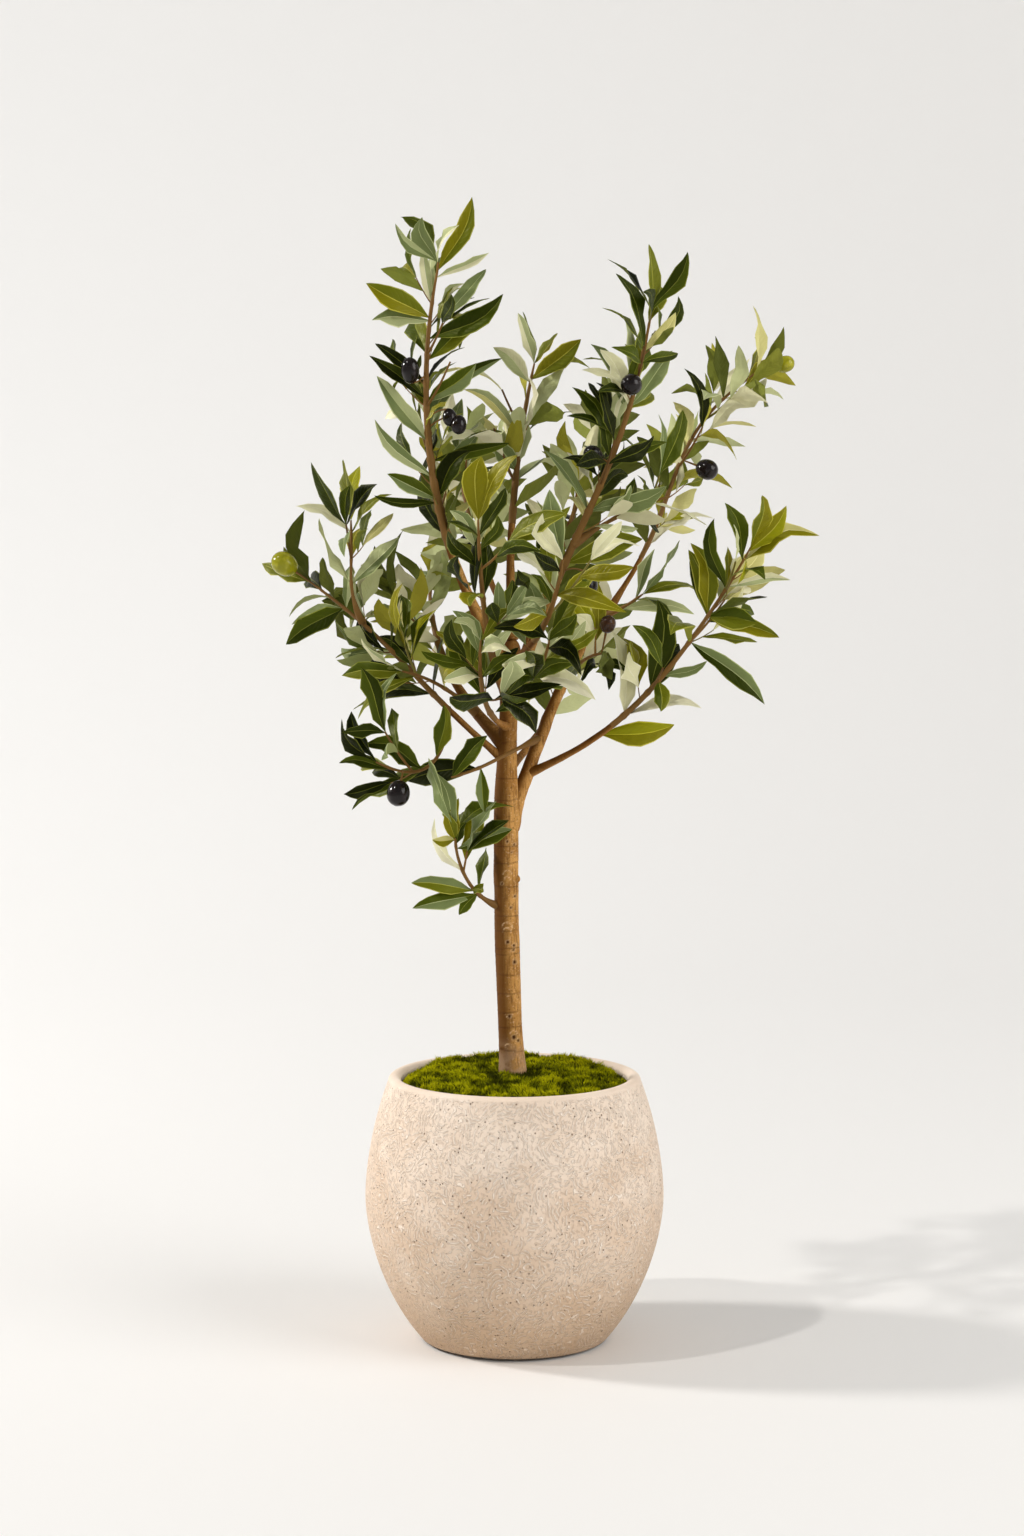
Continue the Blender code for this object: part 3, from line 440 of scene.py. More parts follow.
def trunkRadius(t):
    # a smooth step from the lower radius to the fork's, plus a flare at the foot that fades by a square
    low, high = trunk["fork"]
    share = min(max((t - low) / (high - low), 0.0), 1.0)
    share = share * share * (3.0 - 2.0 * share)
    above = t * (trunk["tip"][2] - trunk["foot"][2])
    flare = trunk["flare"] * max(1.0 - above / trunk["flareHeight"], 0.0) ** 2
    return trunk["radius"] + (trunk["forkRadius"] - trunk["radius"]) * share + flare


def limbOrder():
    done = ["trunk"]
    while len(done) <= len(limbs):
        done += [name for name, limb in limbs.items() if limb["on"] in done and name not in done]
    return done[1:]


def makeSkeleton():
    # each limb's curve and its radius along it, parents first
    paths, radii = {"trunk": limbPath(Vector(trunk["foot"]), trunk)}, {"trunk": trunkRadius}
    for name in limbOrder():
        limb = limbs[name]
        base, tip = limb["girth"]
        paths[name] = limbPath(paths[limb["on"]](limb["along"]), limb)
        radii[name] = lambda t, base=base, tip=tip: base + (tip - base) * t ** 0.8
    return paths, radii


def headingAt(path, t):
    return (path(min(t + 0.01, 1.0)) - path(max(t - 0.01, 0.0))).normalized()


def lengthOf(path, low, high):
    points = [path(low + (high - low) * i / 24) for i in range(25)]
    return sum((b - a).length for a, b in zip(points, points[1:]))


def across(axis, turn):
    # the direction square to an axis, at a turn about it counted from the level
    level = axis.cross(upward)
    if level.length < 0.2:
        level = axis.cross(Vector((0.0, 1.0, 0.0)))
    level.normalize()
    return level * math.cos(turn) + level.cross(axis) * math.sin(turn)


def nodeTurn(draw):
    # how far the next pair is turned from the last
    return math.radians(leafRule["nodeTurn"] + draw.uniform(-leafRule["nodeJitter"], leafRule["nodeJitter"]))


def growLeaf(draw, root, axis, turn, size, angle=None):
    # a leaf leaves its node beside the axis, its upper face turned to the shoot's tip, the sky and the outside
    if angle is None:
        angle = math.radians(draw.uniform(*leafRule["angle"]))
    along = axis * math.cos(angle) + across(axis, turn) * math.sin(angle) + upward * leafRule["lift"]
    along.normalize()
    outward = Vector((root.x, root.y, 0.0)).normalized()
    face = axis * leafRule["forward"] + upward * leafRule["skyward"] + outward * leafRule["outward"]
    face = face - along * face.dot(along)
    if face.length < 0.05:
        face = along.orthogonal()
    face.normalize()
    face = Matrix.Rotation(math.radians(draw.uniform(-leafRule["roll"], leafRule["roll"])), 3, along) @ face
    length = size * draw.uniform(1.0 - leafRule["spread"], 1.0 + leafRule["spread"])
    return dict(root=root.copy(), along=along, face=face, length=length,
                width=length * draw.uniform(*leafRule["ratio"]), droop=draw.uniform(*leafRule["droop"]))


def growEnd(draw, end, axis, turn, length):
    # the pair at the end of a shoot, and the one leaf in line with it
    size = length * leafRule["endShare"]
    leaves = []
    for side in (0.0, math.pi):
        angle = math.radians(draw.uniform(*leafRule["endAngle"]))
        leaves.append(growLeaf(draw, end, axis, turn + side, size, angle))
    size *= draw.uniform(*leafRule["lastShare"])
    angle = math.radians(draw.uniform(*leafRule["lastAngle"]))
    leaves.append(growLeaf(draw, end, axis, turn + math.pi / 2, size, angle))
    return leaves


def growTwig(draw, root, axis, turn, reach, length):
    # a side twig that bends up, with its own leaf pairs and end leaves
    angle = math.radians(draw.uniform(*leafRule["twigAngle"]))
    along = (axis * math.cos(angle) + across(axis, turn) * math.sin(angle)).normalized()
    bend = upward * leafRule["twigLift"] * reach
    points = [root + along * reach * u + bend * u * u for u in (0.0, 0.5, 1.0)]
    leaves = []
    pairs = max(round(reach / leafRule["twigStep"]) - 1, 1)
    spin = math.radians(draw.uniform(0.0, 180.0))
    for k in range(pairs):
        u = (k + leafRule["twigPairs"][0]) / (pairs + leafRule["twigPairs"][1])
        piece = 0 if u < 0.5 else 1
        node = points[piece].lerp(points[piece + 1], u * 2.0 - piece)
        heading = (points[piece + 1] - points[piece]).normalized()
        spin += nodeTurn(draw)
        for side in (0.0, math.pi):
            leaves.append(growLeaf(draw, node, heading, spin + side, length * leafRule["endShare"]))
    heading = (points[2] - points[1]).normalized()
    end = points[2] - heading * leafRule["endInset"]
    leaves += growEnd(draw, end, heading, spin + math.radians(leafRule["nodeTurn"]), length)
    return dict(points=points, leaves=leaves)


def growMass(limb, path):
    # leaf pairs stand crosswise from node to node, and at each few nodes a side twig takes the place of one leaf
    draw = random.Random(limb["seed"])
    low = max(limb["bare"], limb.get("leafy", 0.0))
    nodes = max(int(lengthOf(path, low, 1.0) / limb["step"]), 2)
    turn = math.radians(draw.uniform(0.0, 180.0))
    fade, twigFade, every = leafRule["sizeFade"], leafRule["twigFade"], limb["every"]
    twigs, sprays, spray = [], [], []
    for k in range(nodes):
        share = (k + 0.5) / nodes
        t = low + (1.0 - low) * share
        node, axis = path(t), headingAt(path, t)
        turn += nodeTurn(draw)
        size = leafRule["length"] * limb.get("leaf", 1.0) * (fade[0] - fade[1] * share)
        first = turn + math.pi * draw.randrange(2)
        if k % every == every - 1 - (every > 2) and share < leafRule["twigsTo"]:
            reach = limb["twig"] * (twigFade[0] - twigFade[1] * share) * draw.uniform(*leafRule["twigLot"])
            twigs.append(growTwig(draw, node, axis, first, reach, leafRule["length"]))
        else:
            spray.append(growLeaf(draw, node, axis, first, size))
        spray.append(growLeaf(draw, node, axis, first + math.pi, size))
        if len(spray) >= 4:
            sprays.append(spray)
            spray = []
    axis = headingAt(path, 1.0)
    end = path(1.0) - axis * leafRule["endInset"]
    sprays += [spray, growEnd(draw, end, axis, turn + math.radians(leafRule["nodeTurn"]), leafRule["length"])]
    return twigs, sprays + [twig["leaves"] for twig in twigs]


# Where a leaf met something, the solids have it turned in its own plane by so many degrees and at a share of its size.
# A leaf or a twig is on the solid if its tip is so near to the surface.

otherPlaces = ((0.0, 1.0), (18.0, 1.0), (-18.0, 1.0), (0.0, 0.8), (28.0, 0.8), (-28.0, 0.8))
leafNear, twigNear = 0.0008, 0.0025


def leafTip(leaf):
    return leaf["root"] + leaf["along"] * leaf["length"] - leaf["face"] * leaf["droop"] * leaf["length"]


def turnLeaf(leaf, degrees, share):
    changed = dict(leaf)
    changed["along"] = Matrix.Rotation(math.radians(degrees), 3, leaf["face"]) @ leaf["along"]
    changed["length"], changed["width"] = leaf["length"] * share, leaf["width"] * share
    return changed


def solidSurface(name):
    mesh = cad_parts[name].data
    return BVHTree.FromPolygons([v.co for v in mesh.vertices], [tuple(p.vertices) for p in mesh.polygons])


def standsAt(surface, spot, reach):
    found = surface.find_nearest(spot, reach)
    return found[0] is not None


def asPlaced(leaves, surface):
    # each leaf as the mass's solid has it: the first of its places whose tip lies on the solid, or left out
    placed = []
    for leaf in leaves:
        tries = [turnLeaf(leaf, degrees, share) for degrees, share in otherPlaces]
        there = [changed for changed in tries if standsAt(surface, leafTip(changed), leafNear)]
        placed += there[:1]
    return placed


paths, radii = makeSkeleton()


# The olives: the limb, where on it, how it hangs, and its length and width. clear: not hidden by a leaf from the front.

olives = {
    "upright": dict(on="left_upright", along=0.74, hang=(-0.016, -0.020, 0.002), size=(0.027, 0.019), axis=(-0.05, -0.1, 1.0)),
    "pair_upper": dict(on="left_upright", along=0.63, hang=(0.024, -0.018, 0.002), size=(0.019, 0.015),
                       axis=(0.2, -0.2, -1.0)),
    "pair_lower": dict(on="left_upright", along=0.61, hang=(0.033, -0.024, 0.003), size=(0.020, 0.016),
                       axis=(-0.1, -0.2, -1.0)),
    "crown": dict(on="centre_right", along=0.82, hang=(-0.005, -0.020, 0.0), size=(0.025, 0.022)),
    "outer": dict(on="right_up", along=0.58, hang=(0.026, -0.020, -0.011), size=(0.025, 0.022)),
    "heart": dict(on="centre_right", along=0.35, hang=(0.027, -0.022, -0.012), size=(0.027, 0.022),
                  axis=(0.0, -0.2, -1.0), clear=False),
    "brown": dict(on="fork_right", along=0.97, hang=(0.006, -0.010, 0.031), size=(0.019, 0.017), ripe="brown"),
    "low": dict(on="low_left", along=0.80, hang=(-0.004, -0.018, -0.021), size=(0.027, 0.024),
                axis=(-0.2, -0.2, -1.0)),
    "green_left": dict(on="left_low", along=0.99, hang=(-0.029, -0.010, 0.021), size=(0.030, 0.025), ripe="green"),
    "green_right": dict(on="right_up", along=0.99, hang=(0.032, -0.006, 0.010), size=(0.021, 0.018), ripe="green"),
    "dark_high": dict(on="centre_right", along=0.63, hang=(-0.018, -0.020, 0.008), size=(0.022, 0.018), clear=False),
    "behind": dict(on="back_right", along=0.62, hang=(0.006, 0.016, -0.026), size=(0.026, 0.022), clear=False),
    "behind_left": dict(on="back_left", along=0.66, hang=(-0.004, 0.018, -0.024), size=(0.025, 0.022), clear=False),
}


# Finer growth, which only the looks have: short twigs between the nodes, with small leaves, inside the mass's own reach.
# apart: one such twig at each so many metres of a limb. openSky: right, height and radius of the gaps that show sky.

finer = {
    "apart": {"left_upright": 0.022, "right_up": 0.036, "sprig": 1.0, "cross": 0.08, "centre_right": 0.055,
              "leader": 0.055, "front_left": 0.055, "front_right": 0.055, "front_low": 0.06, "left_low": 0.045},
    "otherApart": 0.042, "reach": (0.016, 0.034), "leaf": (0.62, 0.98), "slack": 0.004, "radius": (0.00075, 0.0005), "seed": 41,
    "openSky": [(-0.107, 0.865, 0.022), (-0.013, 1.040, 0.026), (0.018, 1.052, 0.020), (0.060, 0.800, 0.012),
                (0.178, 0.765, 0.040), (0.095, 0.655, 0.030), (-0.150, 0.950, 0.030)],
}


def keepsInside(leaf, low, high):
    # the leaf's tip stays in its mass's box, and its middle and tip stay out of the gaps that show sky
    tip = leafTip(leaf)
    if any(tip[k] < low[k] - finer["slack"] or tip[k] > high[k] + finer["slack"] for k in range(3)):
        return False
    for spot in (tip, leaf["root"].lerp(tip, 0.5)):
        if any((spot.x - x) ** 2 + (spot.z - z) ** 2 < r * r for x, z, r in finer["openSky"]):
            return False
    return True


def growFiner(name, path):
    # short twigs at equal steps along a limb, each kept if two or more of its leaves are
    limb = limbs[name]
    draw = random.Random(finer["seed"] + limb["seed"])
    low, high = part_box("foliage_" + name)
    start = max(limb["bare"], limb.get("leafy", 0.0))
    count = int(lengthOf(path, start, 1.0) / finer["apart"].get(name, finer["otherApart"]))
    grown, sprays = [], []
    for k in range(count):
        t = start + (1.0 - start) * (k + 1.0) / (count + 1.0)
        turn = draw.uniform(0.0, 2.0 * math.pi)
        length = leafRule["length"] * draw.uniform(*finer["leaf"])
        twig = growTwig(draw, path(t), headingAt(path, t), turn, draw.uniform(*finer["reach"]), length)
        kept = [leaf for leaf in twig["leaves"] if keepsInside(leaf, low, high)]
        if len(kept) > 1:
            grown.append(twig)
            sprays.append(kept)
    return grown, sprays


# Leaves: each is a thin closed blade with a pale margin and midrib, folded, waved, twisted and curled by its own numbers

leafShape = {
    "rows": (0.03, 0.11, 0.23, 0.38, 0.55, 0.72, 0.87, 0.955), "columns": (-1.0, -0.90, -0.48, -0.04, 0.04, 0.48, 0.90, 1.0),
    "slim": 0.87, "stalk": 0.05, "petiole": 0.0007, "thickness": 0.0006, "fold": (0.00, 0.34), "crown": 0.15,
    "wave": (0.08, 0.40), "edgeWave": 0.65, "edgeBeat": (11.0, 1.7), "rippleBeat": (8.0, 2.1),
    "twist": (-0.6, 0.6), "twistFrom": 0.15,
    "sickle": (-0.22, 0.22), "hook": (-0.11, 0.11), "curl": (-0.05, 0.24), "toViewer": 0.7, "frontTo": 0.05, "sharp": 50.0,
    "hang": 0.30, "hangLot": (-0.5, 1.0), "foreshortHang": 0.5, "foreshortFrom": 0.4, "hangDraw": 0.4,
    "gloss": (0.40, 0.5, 0.7), "shine": {"least": 0.08, "perGreen": 0.0016, "most": 0.30}, "tint": (1.0, 0.96, 0.45, 1.0),
    "veins": 11.0, "veinSlant": 5.0, "veinWidth": 0.16, "veinRelief": 0.10, "fine": 700.0, "fineRelief": 0.05,
    "fineRough": 0.25, "swell": 75.0, "relief": (0.0034, 0.6), "paintedLitHalf": 0.24, "seed": 7,
    # a half may be painted a tone lighter, as if lit on its side of the fold
    "tones": {  # blade, margin and midrib, underside, and the tone that a lighter half may have
        "deep": ((16, 24, 0), (92, 98, 28), (84, 92, 32), "dark"),
        "dark": ((38, 49, 0), (114, 120, 46), (104, 110, 48), "forest"),
        "forest": ((66, 78, 6), (134, 140, 50), (122, 129, 50), "mid"),
        "mid": ((102, 107, 12), (172, 170, 72), (146, 149, 56), "olive"),
        "olive": ((124, 119, 4), (188, 180, 66), (166, 159, 52), "khaki"),
        "greyGreen": ((112, 125, 76), (178, 186, 128), (152, 160, 102), "sage"),
        "sage": ((172, 179, 128), (218, 221, 170), (200, 205, 152), "pale"),
        "khaki": ((204, 197, 124), (234, 227, 160), (218, 212, 142), "pale"),
        "pale": ((228, 225, 182), (241, 238, 208), (231, 227, 186), "cream"),
        "cream": ((236, 232, 200), (246, 243, 218), (232, 228, 194), "cream"),
        "bright": ((140, 140, 2), (194, 188, 50), (162, 158, 32), "olive"),
    },
    "moods": {  # which tones a spray draws from
        "shade": ("deep", "deep", "deep", "deep", "dark", "dark", "dark", "forest", "forest", "mid", "greyGreen",
                  "greyGreen", "sage"),
        "even": ("deep", "deep", "deep", "dark", "dark", "forest", "forest", "mid", "olive", "greyGreen", "greyGreen",
                 "sage", "sage", "khaki", "pale", "cream", "cream"),
        "soft": ("dark", "forest", "forest", "mid", "mid", "greyGreen", "greyGreen", "greyGreen", "olive", "sage",
                 "sage", "pale"),
        "light": ("dark", "forest", "mid", "olive", "greyGreen", "sage", "sage", "khaki", "khaki", "pale", "pale",
                  "cream"),
        "fresh": ("forest", "mid", "olive", "olive", "bright", "bright", "khaki", "pale"),
    },
    "moodOf": {  # which moods a limb's sprays draw from
        "left_upright": ("shade", "shade", "soft", "soft", "fresh"), "right_up": ("even", "light", "soft", "fresh"),
        "right_low": ("shade", "even", "fresh"), "left_low": ("shade", "even", "light"), "left_rise": ("fresh", "even"),
        "low_left": ("soft", "shade", "soft"), "cross": ("shade", "soft"), "sprig": ("soft",),
        "centre_right": ("shade", "shade", "even", "soft"), "fork_right": ("shade", "soft", "fresh"),
        "fork_left": ("shade", "soft", "fresh"), "fork_front": ("shade", "shade", "soft"),
        "front_low": ("shade", "shade", "soft", "soft"), "front_left": ("shade", "soft"), "front_right": ("shade", "soft"),
    },
    "otherMoods": ("shade", "shade", "even", "soft", "light"),
}

# How far a leaf keeps from what the photograph shows whole: at these shares of its length it is tried against the single
# leaves, the olives and the limbs that show between the leaves, from where to where along them

keepClear = {
    "leafShares": (0.3, 0.55, 0.8), "leafMiddle": 0.6, "leafRoom": 0.015, "leafBehind": 0.012,
    "oliveShares": (0.3, 0.5, 0.7, 0.9), "oliveWidth": 0.45, "oliveBehind": 0.006,
    "limbShares": (0.25, 0.45, 0.65, 0.85), "limbWidth": 0.3, "limbRoom": 0.002, "limbStep": 0.01,
    "limbs": {"centre_right": (0.2, 0.95), "left_upright": (0.1, 0.92), "leader": (0.3, 0.75), "right_up": (0.1, 0.8),
              "left_low": (0.3, 0.8), "right_low": (0.2, 0.8)},
}


def bladeWidth(t):
    # half width as a share of the widest: the sine of u^1.1, drawn in by 1 - 0.35 u^6 to a point, over a thin stalk
    u = np.clip((t - leafShape["stalk"]) / (1.0 - leafShape["stalk"]), 0.0, 1.0)
    return np.sin(math.pi * u ** 1.1) ** 0.72 * (1.0 - 0.35 * u ** 6)


def leafBlades(leaves):
    # all leaves at once. Along: root + L t, falling by droop t^2 and hanging by hang t^2. Across: half width times the column,
    # moved sideways by a sickle bow and a hook at the tip. The blade rises by a fold and a rippled edge (both by |s|) and a
    # low crown on each half, is turned about the midrib by the twist, and its tip bends back by curl t^4. Its plane is
    # turned part of the way to the front, or to the back where it grows behind.
    shape, draw = leafShape, np.random.default_rng(leafShape["seed"])
    count = len(leaves)
    root, along, fall = (np.array([leaf[key] for leaf in leaves]) for key in ("root", "along", "face"))
    outside = np.where(root[:, 1] < shape["frontTo"], -1.0, 1.0)
    face = fall + outside[:, None] * np.array([0.0, shape["toViewer"], 0.0])
    face = face - along * (face * along).sum(1)[:, None]
    face /= np.linalg.norm(face, axis=1)[:, None]
    side = np.cross(along, face)
    length, width, droop, hang = (np.array([leaf.get(key, 0.0) for leaf in leaves])[:, None, None]
                                  for key in ("length", "width", "droop", "hang"))
    fold, wave, twist, sickle, hook, curl = (draw.uniform(*shape[key], count)[:, None, None]
                                             for key in ("fold", "wave", "twist", "sickle", "hook", "curl"))
    phase, beat = draw.uniform(0.0, 6.28, (2, count))[..., None, None]
    t = np.array(shape["rows"])[None, :, None]
    s = np.array(shape["columns"])[None, None, :]
    half = np.maximum(bladeWidth(t) * width * shape["slim"] * 0.5, shape["petiole"] * (1.0 - 0.5 * t))
    edge = wave * np.sin(t * shape["edgeBeat"][0] + beat + shape["edgeBeat"][1] * (s > 0.0))
    off = half * s * (1.0 + shape["edgeWave"] * edge) + length * (sickle * np.sin(math.pi * t) * t + hook * t ** 3)
    ripple = wave * np.sin(t * (shape["rippleBeat"][0] + beat) + phase + shape["rippleBeat"][1] * (s > 0.0))
    rise = half * np.abs(s) * (fold + ripple + shape["crown"] * 4.0 * (1.0 - np.abs(s)))
    turn = twist * (t - shape["twistFrom"])
    level, stand = off * np.cos(turn) - rise * np.sin(turn), off * np.sin(turn) + rise * np.cos(turn)
    level, stand, t = np.broadcast_arrays(level, stand - curl * length * t ** 4, t)
    bend, sag = t * t * droop * length, t * t * hang * length

    def spread(direction, amount):
        return direction[:, None, None] * amount[..., None]

    place = root[:, None, None] + spread(along, length * (t - shape["hangDraw"] * hang * hang * t ** 3)) - spread(fall, bend)
    place = place + spread(side, level) + spread(face, stand) - sag[..., None] * np.array([0.0, 0.0, 1.0])
    down = (spread(face, np.cos(turn)) - spread(side, np.sin(turn))) * shape["thickness"]
    under = np.stack([place[:, :, 5], place[:, :, 3:5].mean(2), place[:, :, 2]], 2) - down  # below both halves and the midrib
    ring = np.concatenate([place, under], 2)
    rows, columns = ring.shape[1:3]
    last = twist * (1.0 - shape["twistFrom"])
    tip = root + along * (length * (1.0 - shape["hangDraw"] * hang * hang))[:, 0] - fall * (length * droop)[:, 0]
    tip = tip - face * (length * curl)[:, 0]
    tip = tip + side * (length * hook * np.cos(last))[:, 0] + face * (length * hook * np.sin(last))[:, 0]
    tip = tip - (length * hang)[:, 0] * np.array([0.0, 0.0, 1.0])
    points = np.concatenate([ring.reshape(count, -1, 3), root[:, None], tip[:, None]], 1)
    quads, ends, start = ringFaces(rows, columns), endFaces(rows, columns), np.arange(count)[:, None, None] * points.shape[1]
    below = np.arange(columns) >= len(shape["columns"]) - 1
    quads = np.where(np.tile(below, rows - 1)[:, None], np.roll(quads, -1, 1), quads)  # both faces bend along one diagonal
    # by column: 0 is blade, 1 margin or midrib and 2 underside, and the two halves may differ in tone:
    # a lighter half is painted light on its side of the fold
    kind, which = np.array([1, 0, 0, 1, 0, 0, 1, 2, 2, 2, 2]), np.array([0, 0, 0, 0, 1, 1, 1, 0, 0, 0, 0])
    tone = np.array([leaf["tones"] for leaf in leaves])[:, which] * 3 + kind
    slots = [np.tile(tone, (1, n)).ravel() for n in (rows - 1, 2)]
    flat = np.stack([np.broadcast_to(np.array(shape["columns"] + (0.48, 0.0, -0.48)), (rows, columns)),
                     np.broadcast_to(np.array(shape["rows"])[:, None], (rows, columns))], -1).reshape(-1, 2)
    flat = np.concatenate([flat, [[0.0, 0.0], [0.0, 1.0]]]) * (0.5, 1.0) + (0.5, 0.0)
    return {"points": points.reshape(-1, 3), "faces": [(quads + start).reshape(-1, 4), (ends + start).reshape(-1, 3)],
            "slots": slots, "map": np.tile(flat, (count, 1))}


def leafFinishes():
    # three materials for each tone. Side veins run out from the midrib, and the gloss is broken up by a fine noise
    finishes, shine = [], leafShape["shine"]
    for name, colours in leafShape["tones"].items():
        for part, colour, gloss in zip(("blade", "edge", "under"), colours, leafShape["gloss"]):
            level = min(shine["least"] + colour[1] * shine["perGreen"], shine["most"])
            finish = Finish("leaf_" + name + "_" + part, seen(*colour), gloss, Specular_IOR_Level=level,
                            Specular_Tint=leafShape["tint"])
            u = finish.node("ShaderNodeSeparateXYZ", None, {0: finish.node("ShaderNodeUVMap", {"uv_map": "leaf_map"})})
            slant = u.twin(1) * leafShape["veins"] - abs(u - 0.5) * leafShape["veinSlant"]
            veins = slant.maths("PINGPONG", slant, 0.5)
            spot = finish.where()
            fine, swell = finish.noise(spot, leafShape["fine"]), finish.noise(spot, leafShape["swell"], 1.0)
            finish.feed("Roughness", fine * leafShape["fineRough"] + (gloss - 0.12))
            raised = finish.between(veins, 0.0, leafShape["veinWidth"]) * leafShape["veinRelief"]
            finish.relief(raised + fine * leafShape["fineRelief"] + swell, *leafShape["relief"])
            finishes.append(finish)
    return finishes


# Leaves that the photograph shows whole: the spots of the root and the tip and the width, read off the photograph in
# its
# 1024 by 1536 pixels, how many millimetres the tip stands before the limb, and the tones of the two halves, where a
# lighter half is painted light on its side of the fold

ownLeaves = {
    "sprig": [((466, 899), (413, 882), 20, 18, "mid", "greyGreen"), ((471, 900), (414, 939), 20, 20, "greyGreen", "forest"),
              ((466, 892), (483, 893), 14, 12, "mid", "mid"), ((471, 900), (457, 917), 14, 12, "forest", "forest"),
              ((476, 846), (524, 834), 20, 18, "greyGreen", "forest"), ((480, 842), (466, 822), 14, 8, "forest", "dark"),
              ((455, 840), (456, 800), 16, 12, "mid", "olive"), ((461, 840), (447, 814), 15, 14, "olive", "mid"),
              ((451, 840), (433, 840), 13, 10, "olive", "khaki")],
    "right_low": [((606, 744), (673, 729), 28, 14, "bright", "olive"), ((701, 650), (764, 701), 22, 24, "greyGreen", "dark"),
                  ((637, 677), (660, 601), 30, 22, "dark", "dark"), ((651, 674), (664, 709), 20, 22, "mid", "forest"),
                  ((667, 681), (703, 659), 12, 18, "greyGreen", "greyGreen"), ((714, 623), (779, 639), 20, 20, "mid", "olive"),
                  ((708, 615), (695, 545), 24, 12, "olive", "mid"), ((722, 588), (710, 519), 18, 8, "dark", "forest"),
                  ((749, 552), (789, 509), 22, 10, "olive", "bright"), ((733, 591), (790, 576), 12, 8, "pale", "sage"),
                  ((711, 618), (757, 621), 26, 14, "forest", "mid")],
    "left_low": [((340, 612), (286, 640), 26, 20, "dark", "forest")],
    "low_left": [((392, 767), (339, 766), 15, 6, "dark", "forest"), ((422, 767), (367, 739), 24, 8, "dark", "forest"),
                 ((428, 778), (355, 816), 11, 4, "forest", "dark"), ((421, 747), (442, 705), 20, 8, "forest", "mid")],
    "cross": [((451, 777), (486, 737), 22, 10, "dark", "forest"), ((483, 773), (488, 812), 15, 4, "forest", "greyGreen")],
    "left_upright": [((441, 271), (477, 200), 22, 16, "olive", "mid"), ((438, 262), (392, 228), 13, 14, "greyGreen", "sage"),
                     ((427, 317), (362, 278), 27, 18, "olive", "mid"), ((428, 320), (369, 321), 22, 14, "sage", "greyGreen"),
                     ((432, 340), (504, 297), 26, 18, "dark", "forest"), ((438, 403), (469, 360), 22, 18, "forest", "greyGreen"),
                     ((424, 400), (356, 352), 15, 12, "deep", "dark"), ((418, 444), (381, 375), 22, 14, "greyGreen", "sage"),
                     ((427, 385), (378, 338), 15, -4, "deep", "deep"), ((422, 480), (368, 423), 16, 12, "sage", "greyGreen"),
                     ((429, 500), (387, 475), 20, 12, "greyGreen", "forest"), ((431, 505), (369, 497), 12, 6, "dark", "dark"),
                     ((431, 362), (493, 316), 24, 6, "forest", "mid"), ((432, 400), (502, 360), 15, 8, "dark", "greyGreen"),
                     ((434, 498), (468, 448), 27, 14, "deep", "dark"), ((430, 305), (420, 248), 13, -6, "pale", "sage"),
                     ((442, 278), (488, 250), 11, -4, "sage", "pale"), ((431, 462), (515, 435), 16, 4, "dark", "forest")],
    "leader": [((535, 355), (522, 313), 15, 10, "pale", "sage"), ((520, 380), (496, 345), 20, 10, "sage", "pale"),
               ((536, 355), (559, 334), 16, 10, "mid", "olive"), ((549, 384), (581, 339), 24, 18, "olive", "mid"),
               ((528, 464), (531, 425), 15, 10, "pale", "sage"), ((518, 471), (495, 441), 22, 12, "greyGreen", "greyGreen"),
               ((518, 435), (465, 387), 15, 12, "khaki", "sage")],
}
ownShape = {"steps": 200, "faceUp": 0.4, "widen": 1.04}
pixelsPerDepth = studio["lens"] / studio["film"] * studio["photo"][1]


def atSpot(spot, depth):
    # the point at a depth y that the camera sees at a spot of the photograph: eye + ray (y - eye y) / ray y
    down, eye = math.radians(studio["lookDown"]), Vector(studio["eye"])
    wide, tall = studio["photo"]
    right, above = (spot[0] - wide * 0.5) / pixelsPerDepth, (tall * 0.5 - spot[1]) / pixelsPerDepth
    ray = Vector((right, math.cos(down) + above * math.sin(down), above * math.cos(down) - math.sin(down)))
    return eye + ray * ((depth - eye.y) / ray.y)


def placeOwn(name):
    # from the limb, where it passes nearest to the root's spot, straight to the tip's spot, but not out of the mass's box.
    # The face is turned to the front and a little up, and the width allows for the fold.
    made, tones = [], list(leafShape["tones"])
    low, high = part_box("foliage_" + name)
    steps = [paths[name](k / ownShape["steps"]) for k in range(ownShape["steps"] + 1)]
    for rootSpot, tipSpot, width, before, left, right in ownLeaves.get(name, ()):
        root = min(steps, key=lambda step: (atSpot(rootSpot, step.y) - step).length)
        tip = atSpot(tipSpot, root.y - before * 0.001)
        tip = Vector([min(max(tip[k], low[k] - finer["slack"]), high[k] + finer["slack"]) for k in range(3)])
        line = tip - root
        face = Vector((0.0, -1.0, ownShape["faceUp"]))
        face = (face - line * (face.dot(line) / line.length_squared)).normalized()
        width *= ownShape["widen"] * (tip.y - studio["eye"][1]) / pixelsPerDepth
        made.append(dict(root=root, along=line.normalized(), face=face, length=line.length, width=width, droop=0.0,
                         tones=[tones.index(left), tones.index(right)]))
    return made


def crowdsOwn(leaf, made):
    # whether the leaf's middle stands close to a single leaf, and not well behind it
    middle = leaf["root"].lerp(leafTip(leaf), keepClear["leafMiddle"])
    for own in made:
        for share in keepClear["leafShares"]:
            spot = own["root"] + own["along"] * own["length"] * share
            near = math.hypot(middle.x - spot.x, middle.z - spot.z) < keepClear["leafRoom"]
            if near and middle.y < spot.y + keepClear["leafBehind"]:
                return True
    return False


